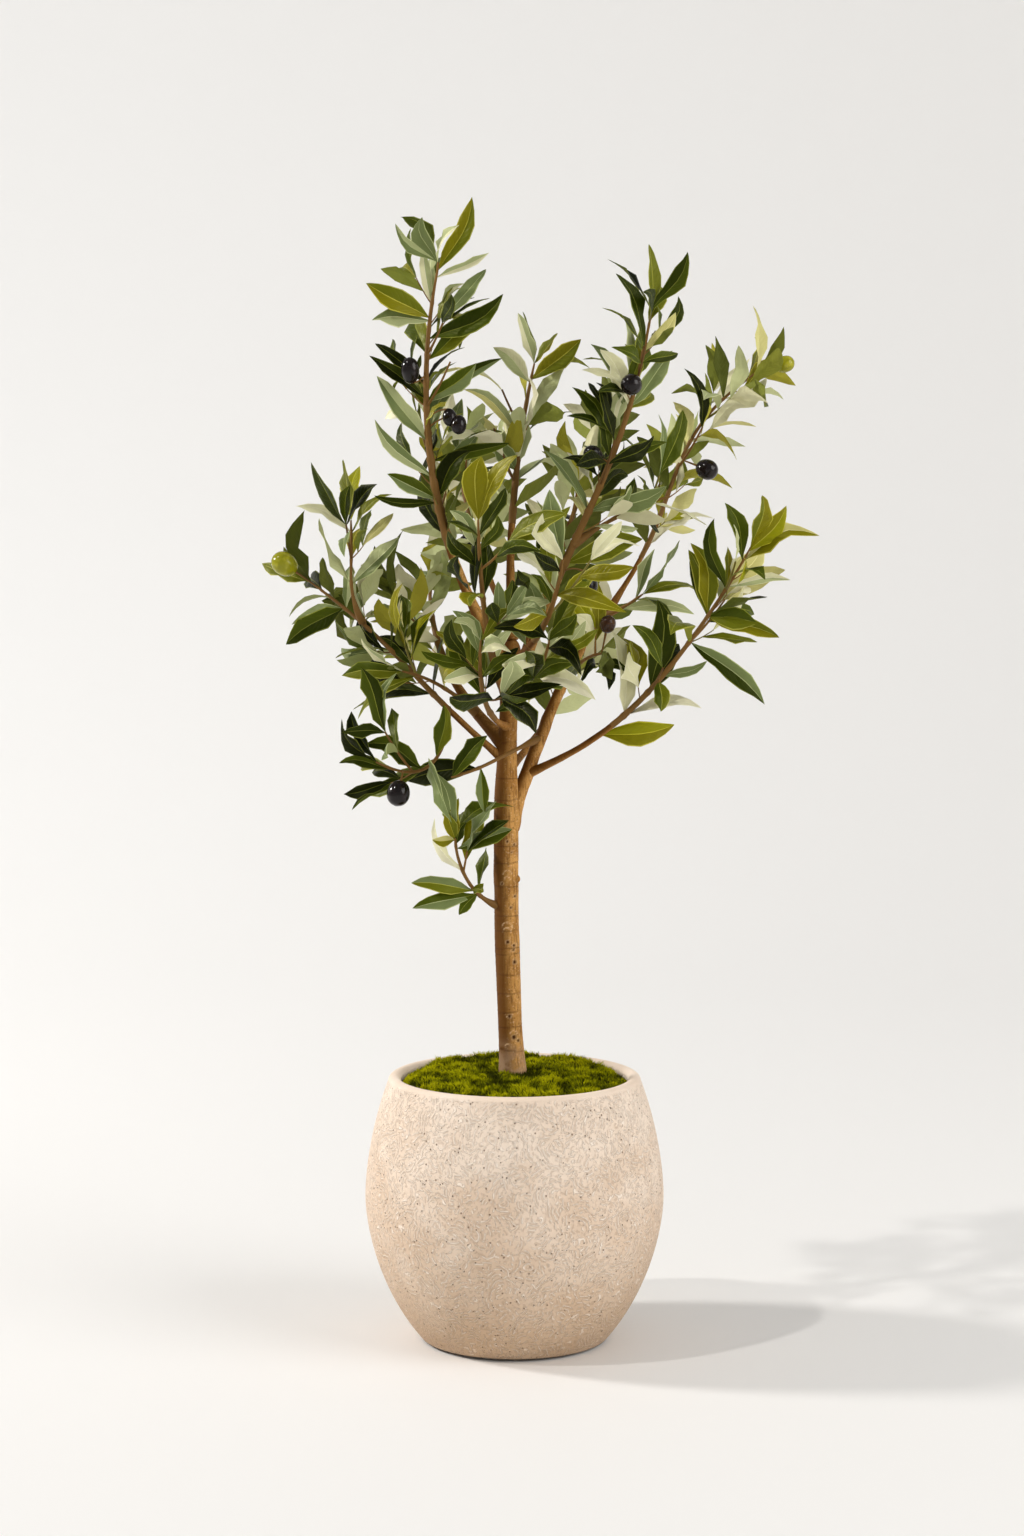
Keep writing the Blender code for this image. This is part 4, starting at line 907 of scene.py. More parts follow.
def coversOlive(leaf):
    # whether the leaf stands before an olive that the photograph shows whole
    tip = leafTip(leaf)
    for olive in olives.values():
        if olive.get("clear", True):
            spot = paths[olive["on"]](olive["along"]) + Vector(olive["hang"])
            reach = olive["size"][1] * 0.5 + leaf["width"] * keepClear["oliveWidth"]
            for share in keepClear["oliveShares"]:
                point = leaf["root"].lerp(tip, share)
                near = math.hypot(point.x - spot.x, point.z - spot.z) < reach
                if near and point.y < spot.y + keepClear["oliveBehind"]:
                    return True
    return False


def shownPoints():
    # points along the limbs that show, each as right, back and up
    return np.array([paths[name](t) for name, (low, high) in keepClear["limbs"].items()
                     for t in np.linspace(low, high, int(lengthOf(paths[name], low, high) / keepClear["limbStep"]))])


def coversLimb(leaf):
    # whether half of the leaf lies along a limb that shows, and before it
    tip = leafTip(leaf)
    hits = 0
    for share in keepClear["limbShares"]:
        point = leaf["root"].lerp(tip, share)
        away = np.hypot(shownLine[:, 0] - point.x, shownLine[:, 2] - point.z)
        near = int(np.argmin(away))
        before = point.y < shownLine[near, 1] - keepClear["limbRoom"]
        hits += away[near] < leaf["width"] * keepClear["limbWidth"] + keepClear["limbRoom"] and before
    return hits > 1


def dealTones(sprays, name, draw):
    # each spray has one mood and each of its leaves a tone out of it, and some leaves have one half a tone lighter,
    # painted light on that side of the fold
    tones = list(leafShape["tones"])
    for spray in sprays:
        mood = leafShape["moods"][draw.choice(leafShape["moodOf"].get(name, leafShape["otherMoods"]))]
        for leaf in spray:
            tone = draw.choice(mood)
            pair = [tone, leafShape["tones"][tone][3] if draw.random() < leafShape["paintedLitHalf"] else tone]
            draw.shuffle(pair)
            leaf["tones"] = [tones.index(each) for each in pair]


def hangLeaves(sprays, name, draw):
    # leaves hang by their own share, and more where they point at the front or the back, as far as the tips stay in the box
    low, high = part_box("foliage_" + name)
    for spray in sprays:
        for leaf in spray:
            hang = leafShape["hang"] * max(draw.uniform(*leafShape["hangLot"]), 0.0)
            hang += leafShape["foreshortHang"] * max(abs(leaf["along"][1]) - leafShape["foreshortFrom"], 0.0)
            leaf["hang"] = min(hang, max((leafTip(leaf).z - low[2]) / leaf["length"], 0.0))


shownLine = shownPoints()
foliage, allTwigs, allOwn, allLeaves = [], [], [], []
for name in limbOrder():
    if limbs[name]["bare"] < 1.0:
        draw = random.Random(leafShape["seed"] + limbs[name]["seed"])
        twigs, sprays = growMass(limbs[name], paths[name])
        surface = solidSurface("foliage_" + name)
        twigs = [twig for twig in twigs if standsAt(surface, twig["points"][2], twigNear)]
        small, smallSprays = growFiner(name, paths[name])
        sprays = [asPlaced(spray, surface) for spray in sprays] + smallSprays
        sprays = [[leaf for leaf in spray if not coversOlive(leaf) and not coversLimb(leaf)] for spray in sprays]
        own = placeOwn(name)
        allOwn += own
        dealTones(sprays, name, draw)
        hangLeaves(sprays, name, draw)
        foliage.append(([leaf for spray in sprays for leaf in spray], own))
        allTwigs.append((name, twigs, small))
for leaves, own in foliage:
    allLeaves += [leaf for leaf in leaves if not crowdsOwn(leaf, allOwn)] + own
print("grown:", len(allLeaves), "leaves")
leafItem = makePiece("leaves", [leafBlades(allLeaves)], leafFinishes(), leafShape["sharp"])


# Stems and twigs: round bars along the limb curves, a little thicker at each node

wood = {
    "stemSides": 9, "twigSides": 6, "twigRows": 9, "stemStep": 0.004, "leastRows": 12, "twigRadius": (0.0015, 0.0010),
    "knuckle": 0.25, "knuckleLength": 0.0022, "stout": 1.12, "thinFrom": 0.9, "thinning": 0.35,
    "heel": 0.9, "heelLength": 0.022, "sharp": 60.0,
    "tones": ((120, 85, 34), (140, 102, 46), (100, 68, 26), (116, 106, 40)), "gloss": 0.6, "shine": 0.3, "grain": 900.0,
    "rough": (0.3, 0.45), "relief": (0.0003, 0.6), "seed": 23,
}


def pathPoints(path, low, high, count):
    return np.array([path(t) for t in np.linspace(low, high, count)])


def twigPath(points):
    # the curve through three points: quadratic in u from 0 to 1
    a, b, c = (np.array(p) for p in points)
    u = np.linspace(0.0, 1.0, wood["twigRows"])[:, None]
    return a + (4.0 * b - 3.0 * a - c) * u + (2.0 * a + 2.0 * c - 4.0 * b) * u * u


def stemParts():
    # radius along the limb, swelling at the nodes by a bell curve, thinning at the end, and with a heel where it starts bare
    draw = np.random.default_rng(wood["seed"])
    parts = []
    for name, twigs, small in allTwigs:
        limb, path, radius = limbs[name], paths[name], radii[name]
        low = limb["bare"]
        count = max(int(lengthOf(path, low, 1.0) / wood["stemStep"]), wood["leastRows"])
        t = np.linspace(low, 1.0, count)
        leafy = max(low, limb.get("leafy", 0.0))
        nodes = max(int(lengthOf(path, leafy, 1.0) / limb["step"]), 2)
        near = ((t - leafy) / (1.0 - leafy) * nodes) % 1.0 - 0.5
        swell = 1.0 + wood["knuckle"] * np.exp(-(near * limb["step"] / wood["knuckleLength"]) ** 2) * (t > leafy)
        thin = 1.0 - wood["thinning"] * np.clip(t - wood["thinFrom"], 0.0, 1.0) / 0.1
        girth = np.array([radius(v) for v in t]) * swell * thin * wood["stout"]
        if low == 0.0:
            run = t * lengthOf(path, 0.0, 1.0)
            girth = girth * (1.0 + wood["heel"] * np.exp(-(run / wood["heelLength"]) ** 4))
        part = tube(pathPoints(path, low, 1.0, count), girth, wood["stemSides"])
        part["slots"] = [0, 0]
        parts.append(part)
        for group, ends in ((twigs, wood["twigRadius"]), (small, finer["radius"])):
            for twig in group:
                part = tube(twigPath(twig["points"]), np.linspace(ends[0], ends[1], wood["twigRows"]), wood["twigSides"])
                part["slots"] = [int(draw.integers(0, len(wood["tones"])))] * 2
                parts.append(part)
    return parts


stemItem = makePiece("stems_and_twigs", stemParts(), grainFinishes("twig_bark_", wood), wood["sharp"])


# Trunk and boughs with bark relief

bark = {
    "trunkRows": 380, "trunkSides": 56, "capRows": 12, "boughStep": 0.0016, "leastRows": 24, "boughSides": 20,
    # depth of the relief, the noise's scale across and along the stem, and its seed: lumps, fibres and grain
    "trunkRelief": [(0.0011, 60.0, 38.0, 3), (0.00035, 520.0, 60.0, 5), (0.0002, 420.0, 420.0, 9)],
    # depth as a share of the radius, then the noise's scale across and along the bough
    "boughLumps": (0.20, 1.2, 70.0), "boughFibre": (0.06, 4.0, 160.0),
    "collar": 0.45, "collarLength": 0.020, "collarInset": 0.003, "collarRound": 0.006,
    # right of the axis and height, radius and depth
    "pits": [(0.0013, 0.5353, 0.9, 0.6), (0.0086, 0.5321, 0.8, 0.5), (0.0061, 0.524, 0.6, 0.4), (-0.0045, 0.4906, 0.8, 0.5),
             (0.0091, 0.4768, 0.9, 0.6), (0.0048, 0.465, 0.8, 0.6), (0.0006, 0.4283, 1.2, 0.6), (0.0072, 0.4245, 1.0, 0.7),
             (0.0064, 0.4197, 0.8, 0.5), (0.0076, 0.4066, 1.3, 0.8), (-0.0001, 0.3490, 1.2, 0.7), (0.0036, 0.3265, 1.5, 0.9),
             (0.0081, 0.3228, 1.0, 0.6)],
    "pit": {"squat": 0.8, "size": 0.0014, "sink": 0.0013, "lipAt": 0.0018, "lipWidth": 0.0006, "lip": 0.0003, "dark": 1.15},
    # right of the axis and height, radius of the arc, and which way it opens
    "arcs": [(-0.0008, 0.3723, 1.6, 1.0), (-0.0006, 0.3510, 3.2, 1.0), (0.0032, 0.3300, 3.6, -1.0), (-0.0034, 0.3165, 3.0, -1.0),
             (0.0004, 0.4395, 4.2, -1.0), (0.0004, 0.4440, 5.4, -1.0), (0.0010, 0.4950, 3.0, -1.0), (0.0014, 0.5010, 4.0, -1.0)],
    "arc": {"width": 0.0004, "past": 0.0008, "rise": 0.0004},
    # height, slope and depth of the rings round the stem
    "rings": [(0.3528, 0.10, 0.5), (0.3120, -0.12, 0.5), (0.3730, 0.02, 0.3), (0.4149, 0.05, 0.3), (0.4213, 0.03, 0.3),
              (0.4870, -0.04, 0.3), (0.5560, 0.06, 0.35), (0.6020, -0.05, 0.35), (0.3370, 0.03, 0.35), (0.3930, -0.04, 0.4),
              (0.4400, 0.03, 0.3), (0.4560, -0.04, 0.4), (0.5120, 0.05, 0.4), (0.5300, -0.03, 0.3), (0.5790, 0.04, 0.35),
              (0.6400, 0.06, 0.35)],
    "ring": {"waver": 0.0015, "width": 0.0006, "sink": 0.0006, "lipAt": 0.0014, "lipWidth": 0.0008, "lip": 0.0005, "dark": 0.6},
    # right of the axis and height, radius and how far it stands out
    "stubs": [(0.0118, 0.4946, 3.4, 2.6), (0.0100, 0.3700, 2.6, 1.1), (-0.0115, 0.3720, 1.6, 0.7)],
    "stub": {"girth": 0.0127, "rim": 0.35, "dark": 0.5},
    "tan": (203, 151, 82), "brown": (172, 121, 58), "shade": (66, 34, 6), "scar": (238, 200, 152), "young": (132, 86, 32),
    # side is the colour of a painted shade on the left of the trunk and the boughs
    "side": (92, 53, 0), "dust": (200, 168, 136), "leftShadeFrom": 0.38, "leftShadeTo": -0.38, "crownShadeFrom": 0.60, "crownShadeTo": 0.72,
    # young colours the thin boughs' young bark, and above a height it is a painted shade from the crown on the trunk
    "crownShadeShare": 0.6, "youngGirth": (0.0050, 0.0026), "dustTo": (0.290, 0.335), "long": (1.0, 1.0, 0.10),
}


def leftShade(right):
    # painted shade: the bark is darker on its left, by how far a spot's outward direction points right
    return np.clip((right - bark["leftShadeFrom"]) / (bark["leftShadeTo"] - bark["leftShadeFrom"]), 0.0, 1.0)


def bell(away, width):
    # 1 in the middle, falling off to both sides by e to the minus (away / width)^2
    return np.exp(-(away / width) ** 2)


def trunkPart():
    # radius at a height, plus soft lumps, long fibres, rings that run round, arcs of old scars and pits
    t = np.linspace(0.0, 1.0, bark["trunkRows"])
    middle, base, cap = pathPoints(paths["trunk"], 0.0, 1.0, len(t)), np.array([trunkRadius(v) for v in t]), bark["capRows"]
    base[-cap:] *= np.sqrt(np.clip(1.0 - (np.arange(cap) / (cap + 0.5)) ** 2, 0.0, 1.0))
    turn = roundTurns(bark["trunkSides"])
    right, front = np.cos(turn)[None, :] * base[:, None], -np.sin(turn)[None, :] * base[:, None]
    height = np.broadcast_to(middle[:, 2][:, None], right.shape)

    def rough(across, along, seed):
        return latticeNoise(right * across, front * across, height * along, seed) - 0.5

    out = sum(rough(*scales) * depth for depth, *scales in bark["trunkRelief"])
    # dark gathers painted shade: the ring grooves, the pits and the rims round the stubs are darkened as well as sunk
    dark, pale = np.zeros_like(right), np.zeros_like(right)
    ring, arc, pit, stub = (bark[key] for key in ("ring", "arc", "pit", "stub"))
    waver = ring["waver"] * rough(200.0, 0.0, 12)
    for level, slope, depth in bark["rings"]:
        away = height - level - slope * right + waver
        line = bell(away, ring["width"])
        out = out - line * depth * ring["sink"] + bell(away - ring["lipAt"], ring["lipWidth"]) * depth * ring["lip"]
        dark = np.maximum(dark, line * ring["dark"])
    facing = (front < 0.0)
    for x, level, size, way in bark["arcs"]:
        span = np.hypot(right - x, height - level)
        band = bell(span - size * 0.001, arc["width"]) * ((height - level) * way < arc["past"]) * facing
        out = out + band * arc["rise"]
        pale = np.maximum(pale, band)
    for x, level, size, depth in bark["pits"]:
        away = (right - x) ** 2 + ((height - level) * pit["squat"]) ** 2
        spot = np.exp(-(away / (size * pit["size"]) ** 2) ** 1.5) * facing
        lip = bell(np.hypot(right - x, height - level) - size * pit["lipAt"], pit["lipWidth"]) * facing
        out = out - spot * depth * pit["sink"] + lip * pit["lip"]
        dark, pale = np.maximum(dark, spot * pit["dark"]), np.maximum(pale, lip * 0.5)
    for x, level, size, depth in bark["stubs"]:
        ahead = front + math.sqrt(max(stub["girth"] ** 2 - x * x, 0.0))
        away = ((right - x) ** 2 + ahead ** 2 + (height - level) ** 2) / (size * 0.001) ** 2
        out = out + np.exp(-away * away) * depth * 0.001
        dark = np.maximum(dark, bell(away - 1.0, stub["rim"]) * stub["dark"])
    grid = np.stack([middle[:, 0][:, None] + np.cos(turn)[None, :] * (base[:, None] + out),
                     middle[:, 1][:, None] - np.sin(turn)[None, :] * (base[:, None] + out), height], -1)
    points, quads, ends = closeEnds(grid[:, ::-1])
    # painted shade from the crown: the trunk's top darkens towards the young bark's colour
    young = np.clip((height - bark["crownShadeFrom"]) / (bark["crownShadeTo"] - bark["crownShadeFrom"]), 0.0, 1.0)
    # side carries the painted shade on the bark's left
    values = {"pit": dark, "scar": pale, "side": leftShade(np.cos(turn)) + 0.0 * height, "young": bark["crownShadeShare"] * young}
    return {"points": points, "faces": [quads, ends],
            "values": {key: np.concatenate([value[:, ::-1].ravel(), np.zeros(2)]) for key, value in values.items()}}


def boughPart(name):
    # a bar along the bare share of the limb's curve, with a collar where it leaves its parent and lumps all along
    limb, path, radius = limbs[name], paths[name], radii[name]
    length = lengthOf(path, 0.0, limb["bare"])
    rows, sides = max(int(length / bark["boughStep"]), bark["leastRows"]), bark["boughSides"]
    t = np.linspace(0.0, limb["bare"], rows)
    run = t / limb["bare"] * length
    middle = pathPoints(path, 0.0, limb["bare"], rows)
    girth = np.array([radius(v) for v in t])
    turn = roundTurns(sides)
    right, front, along = np.broadcast_arrays(np.cos(turn)[None, :], np.sin(turn)[None, :], run[:, None])
    depth, across, down = bark["boughLumps"]
    lumps = depth * (latticeNoise(right * across + 5.0, front * across, along * down, limb.get("seed", 3)) - 0.5)
    depth, across, down = bark["boughFibre"]
    fibre = depth * (latticeNoise(right * across, front * across + 9.0, along * down, 8) - 0.5)
    collar = 1.0 + bark["collar"] * bell(run, bark["collarLength"])
    collar = collar * np.minimum(1.0, (run + bark["collarInset"]) / bark["collarRound"]) ** 0.5
    wide = (girth * collar)[:, None] * (1.0 + lumps + fibre)
    part = tube(middle, wide, sides)
    stout, reach = bark["youngGirth"]
    young = np.clip((stout - girth) / reach, 0.0, 1.0)
    pole, none = np.zeros(2), np.zeros(len(part["points"]))
    # the boughs are painted with the same shade on their left
    outward = (part["points"][:-2, 0].reshape(rows, sides) - middle[:, :1]) / wide
    part["values"] = {"pit": none, "scar": none, "side": np.concatenate([leftShade(outward).ravel(), pole]),
                      "young": np.concatenate([np.repeat(young, sides), pole + young[-1]])}
    return part


def barkFinish():
    tan, brown, shade, scar, young, side, dust = (seen(*bark[key]) for key in (
        "tan", "brown", "shade", "scar", "young", "side", "dust"))
    finish = Finish("olive_bark", tan, 0.7, Specular_IOR_Level=0.15)
    spot = finish.where()
    fibre = finish.noise(finish.where(bark["long"]), 620.0, 3.0)
    patch, fleck = finish.noise(spot, 60.0, 3.0), finish.noise(spot, 480.0, 3.0)
    colour = finish.blend(finish.between(patch, 0.36, 0.66), tan, brown)
    colour = finish.blend(finish.between(fibre, 0.46, 0.70) * 0.55, colour, shade)
    colour = finish.blend(finish.between(fleck, 0.56, 0.72) * 0.5, colour, scar)
    colour = finish.blend((1.0 - finish.between(fleck, 0.30, 0.42)) * 0.5, colour, shade)
    # the young bark's colour on the thin boughs, and painted shade from the crown on the trunk's top
    colour = finish.blend(finish.attribute("young") * 0.85, colour, young)
    # painted shade on the left of the trunk and the boughs
    colour = finish.blend(finish.attribute("side") * 0.94, colour, side)
    low = 1.0 - finish.between(finish.height(spot), *bark["dustTo"])
    colour = finish.blend(low * finish.between(patch, 0.35, 0.60) * 0.5, colour, dust)
    colour = finish.blend(finish.attribute("scar") * 0.75, colour, scar)
    # painted shade in the pits, the ring grooves and round the stubs
    colour = finish.blend(finish.attribute("pit") * 0.95, colour, shade)
    finish.feed("Base Color", colour)
    finish.feed("Roughness", fleck * 0.3 + 0.52)
    finish.relief(fibre * 0.6 + fleck * 0.5, 0.0006, 0.55)
    return finish


barkMade = barkFinish()
trunkItem = makePiece("trunk_bark", [trunkPart()], [barkMade])
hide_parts("trunk")
boughNames = [name for name in limbOrder() if limbs[name]["bare"] > 0.0]
boughItem = makePiece("bough_bark", [boughPart(name) for name in boughNames], [barkMade])
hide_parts(*["bough_" + name for name in boughNames])


# Olives: turned on their long axis, with a small point, on curved stalks

oliveSkin = {
    "rows": 22, "sides": 28, "ends": (0.10, 0.06), "fullness": 0.92, "taper": 0.05, "point": 0.0003,
    "stalk": 0.0009, "stalkSides": 8, "flare": 0.7, "arch": 0.12, "entry": 0.44,
    "bloom": 130.0, "bloomFrom": 0.45, "bloomTo": 0.75, "rough": (0.16, 0.08), "dots": 1500.0, "relief": (0.00005, 0.15),
    "black": ((16, 9, 9), (30, 17, 16)), "brown": ((58, 34, 20), (92, 60, 36)), "green": ((142, 140, 14), (176, 170, 40)),
}
ripeness = ("black", "brown", "green")


def olivePart(olive):
    # radius along the axis: the sine of the way from stalk to tip, a little fuller, drawn out to a small point
    length, width = olive["size"]
    hang = np.array(olive["hang"])
    toward = np.array(olive.get("axis", olive["hang"]))
    toward = toward / np.linalg.norm(toward)
    middle = np.array(paths[olive["on"]](olive["along"])) + hang
    turn = np.linspace(oliveSkin["ends"][0], math.pi - oliveSkin["ends"][1], oliveSkin["rows"])
    along = -np.cos(turn) * length * 0.5
    radius = np.sin(turn) ** oliveSkin["fullness"] * width * 0.5 * (1.0 - oliveSkin["taper"] * np.cos(turn))
    along[-1] += oliveSkin["point"]
    part = tube(middle + toward * along[:, None], radius, oliveSkin["sides"])
    number = ripeness.index(olive.get("ripe", "black"))
    part["slots"] = [number, number]
    return part


def stalkPart(olive):
    # from the limb into the fruit on a curve that arches away from it, widening where it enters
    root, hang = paths[olive["on"]](olive["along"]), Vector(olive["hang"])
    toward = Vector(olive.get("axis", olive["hang"])).normalized()
    entry = root + hang - toward * olive["size"][0] * oliveSkin["entry"]
    arch = root.lerp(entry, 0.5) - toward * hang.length * oliveSkin["arch"]
    radius = oliveSkin["stalk"] * (1.0 + oliveSkin["flare"] * np.linspace(0.0, 1.0, wood["twigRows"]) ** 6)
    part = tube(twigPath((root, arch, entry)), radius, oliveSkin["stalkSides"])
    part["slots"] = [3, 3]
    return part


def oliveFinishes():
    finishes = []
    for name in ripeness:
        dark, light = oliveSkin[name]
        finish = Finish("olive_skin_" + name, seen(*dark), 0.2, Specular_IOR_Level=0.28, Coat_Weight=0.10,
                        Coat_Roughness=0.08)
        spot = finish.where()
        bloom, dots = finish.noise(spot, oliveSkin["bloom"]), finish.noise(spot, oliveSkin["dots"], 1.0)
        share = finish.between(bloom, oliveSkin["bloomFrom"], oliveSkin["bloomTo"])
        finish.feed("Base Color", finish.blend(share, seen(*dark), seen(*light)))
        finish.feed("Roughness", bloom * oliveSkin["rough"][0] + oliveSkin["rough"][1])
        finish.relief(dots, *oliveSkin["relief"])
        finishes.append(finish)
    return finishes + grainFinishes("twig_bark_", wood)[:1]


fruit = [make(olive) for olive in olives.values() for make in (olivePart, stalkPart)]
oliveItem = makePiece("olives", fruit, oliveFinishes())
for item in (leafItem, stemItem, oliveItem):
    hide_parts(*[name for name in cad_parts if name.startswith("foliage_")])


# Pot: a turned barrel with a round lip, a set-in foot and a skin of fine curled marks

pot = {
    "height": 0.285, "belly": 0.1595, "bellyHeight": 0.155, "reachUp": 0.257, "reachDown": 0.2034, "fullness": 1.72,
    "wall": 0.0135, "floor": 0.016, "footHeight": 0.003, "footInset": 0.006, "footEdge": 0.0008, "hub": 0.02, "lip": 0.006,
    "sides": 180, "rows": 84, "innerRows": 24, "lipRows": 15, "sharp": 40.0,
    # the pale colour is also a painted highlight on the curl ridges, and the groove colour a painted shadow beside them
    "clay": (225, 200, 176), "warm": (190, 158, 124), "light": (255, 241, 226), "grooveShadow": (156, 126, 98), "pore": (122, 92, 68),
    # contact is the colour of a painted shadow along the foot
    "contactShadow": (64, 50, 38), "curl": 62.0, "curlLine": 0.0037, "curlShift": 0.034, "waver": 0.006, "pores": 190.0,
    # heights between which a finish comes or goes: the warm band is the lower pot's warmer clay and a painted shade
    # towards the foot, the light band a painted light on the upper pot, and the contact band a painted shadow at the
    # foot
    "plainBand": (0.278, 0.2825), "contactShadowBand": (0.0022, 0.0046), "warmLowShadeBand": (0.0, 0.17), "paintedLightBand": (0.18, 0.27),
    "curlBand": (-0.10, 0.14),
}


def potOuter(height):
    # widest at the belly, and falling off on both sides by the root of 1 - share^fullness
    reach = np.where(height > pot["bellyHeight"], pot["reachUp"], pot["reachDown"])
    share = np.abs(height - pot["bellyHeight"]) / reach
    return pot["belly"] * np.sqrt(1.0 - share ** pot["fullness"])


def potPart():
    # the profile goes up the inside, over a half round lip, down the outside and under the foot
    top = pot["height"] - pot["lip"]
    outer = float(potOuter(np.array(top)))
    middle, half = outer - pot["wall"] / 2.0, pot["wall"] / 2.0
    rise = np.linspace(pot["floor"], top, pot["innerRows"])
    turn = np.linspace(0.0, math.pi, pot["lipRows"])[1:-1]
    fall = np.linspace(top, pot["footHeight"], pot["rows"])
    foot, edge, hub = float(potOuter(np.array(0.0))) - pot["footInset"], pot["footEdge"], pot["hub"]
    radius = np.concatenate([[hub], potOuter(rise) - pot["wall"], middle - half * np.cos(turn), potOuter(fall),
                             [foot + edge, foot, foot, foot - edge, hub]])
    height = np.concatenate([[pot["floor"]], rise, top + pot["lip"] * np.sin(turn), fall,
                             [pot["footHeight"], pot["footHeight"] - edge, edge, 0.0, 0.0]])
    around = roundTurns(pot["sides"])
    grid = np.stack([radius[:, None] * np.cos(around), radius[:, None] * np.sin(around), height[:, None] + 0.0 * around], -1)
    points, quads, ends = closeEnds(grid[:, ::-1])
    return {"points": points, "faces": [quads, ends]}


def potFinish():
    # curls: the surface is split into cells, and each cell has lines round a centre of its own, broken up by noise;
    # the ridges are painted pale as a highlight and the furrows beside them dark as a shadow
    clay, warm, light, grooveShadow, pore, contactShadow = (seen(*pot[key]) for key in (
        "clay", "warm", "light", "grooveShadow", "pore", "contactShadow"))
    finish = Finish("planter_clay", clay, 0.85)
    spot = finish.where()
    bent = finish.vector("ADD", spot, finish.scaled(finish.noise(spot, 90.0, 1.0, 1), pot["waver"]))
    place = finish.node("ShaderNodeTexVoronoi", None, {"Vector": bent, "Scale": pot["curl"]}, "Position")
    shift = finish.scaled(finish.vector("SUBTRACT", place.twin("Color"), (0.5, 0.5, 0.5)), pot["curlShift"])
    swing = finish.vector("DISTANCE", bent, finish.vector("ADD", place, shift), 1) * (math.pi / pot["curlLine"] * 2.0)
    line = swing.maths("SINE", swing, 0.0)
    broken = finish.between(finish.noise(spot, 250.0, 1.0), 0.45, 0.53)
    rise = finish.height(spot)
    plain = 1.0 - finish.between(rise, *pot["plainBand"])
    curl, curlShadow = finish.between(line, 0.30, 0.90) * broken * plain, finish.between(0.0 - line, 0.35, 0.95) * broken * plain
    cell = finish.node("ShaderNodeTexVoronoi", None, {"Vector": spot, "Scale": pot["pores"]})
    some = finish.between(finish.noise(spot, 170.0, 0.0), 0.51, 0.58)
    hole = (1.0 - finish.between(cell, 0.13, 0.21)) * some * plain
    patch, grain = finish.noise(spot, 18.0, 3.0), finish.noise(spot, 900.0, 3.0)
    colour = finish.blend(finish.between(patch, 0.35, 0.70) * 0.45, clay, light)
    # the lower pot is painted warmer and darker: partly the clay's own tone, partly a painted shade towards the foot
    colour = finish.blend((1.0 - finish.between(rise, *pot["warmLowShadeBand"])) * 0.8, colour, warm)
    # painted light: the upper pot is made paler
    colour = finish.blend(finish.between(rise, *pot["paintedLightBand"]) * 0.35, colour, light)
    # painted highlight on the curl ridges, less towards the foot
    colour = finish.blend(curl * finish.between(rise, *pot["curlBand"]) * 0.68, colour, light)
    # painted shadow in the furrows beside the ridges
    colour = finish.blend(curlShadow * 0.30, colour, grooveShadow)
    colour = finish.blend(finish.between(grain, 0.60, 0.75) * 0.25, colour, warm)
    colour = finish.blend(hole * 0.9, colour, pore)
    # painted shadow: a thin dark line where the pot stands on the floor
    colour = finish.blend((1.0 - finish.between(rise, *pot["contactShadowBand"])) * 0.9, colour, contactShadow)
    finish.feed("Base Color", colour)
    finish.feed("Roughness", grain * 0.2 + 0.72)
    finish.relief(curl * 0.8 - curlShadow * 0.2 + grain * 0.06 - hole * 0.7, 0.0020, 0.85)
    return finish


potItem = makePiece("planter_shell", [potPart()], [potFinish()], pot["sharp"])
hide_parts("pot")


# Moss: a lumpy mound up to the pot's inner wall, covered in short blades that lean their own way

moss = {
    "crown": 0.2862, "edge": 0.2735, "crownRadius": 0.022, "low": 0.2623, "rings": 70, "sides": 200,
    # the noise's scale, its seed and its share of the lumps
    "lumps": [(95.0, 1, 0.65), (240.0, 2, 0.35)], "lump": 0.012, "lumpMean": 0.45, "calmAtTrunk": 0.015, "calmAtWall": 0.012,
    "trunkHole": 0.0128, "bank": 0.0085, "bankAt": 0.106, "bankWidth": 0.014, "wallGap": 0.0006,
    "blades": 24000, "bladeLength": (0.0030, 0.0070), "bladeWidth": 0.0007, "bladeDepth": 0.0008, "stand": 0.85, "seed": 5,
    # a clump's lean and the scale of clumps, a blade's own lean, what both are multiplied by, and how far a tip goes with it
    "clumpLean": 2.2, "clumps": 110.0, "ownLean": 0.35, "lean": 1.2, "leanReach": 0.6,
    # at the wall: over what width blades stop leaving it, and then lean in
    "wallBand": 0.010, "inwardBand": 0.006, "inwardMost": 1.5,
    "tones": ((56, 59, 0), (106, 110, 0), (148, 149, 0), (188, 184, 8)), "footShade": 1.6, "footReach": 0.030,
    "contrast": 5.0, "lightness": 1.9, "toneLot": (-0.9, 1.1),
    "gloss": 0.9, "shine": 0.06, "grain": 1200.0, "rough": (0.2, 0.78), "relief": (0.0008, 0.8),
}
mossEdge = float(potOuter(np.array(moss["edge"]))) - pot["wall"] - moss["wallGap"]


def mossNoise(x, y, scale, seed):
    # noise over the level ground
    return latticeNoise(x * scale, y * scale, x * 0.0, seed)


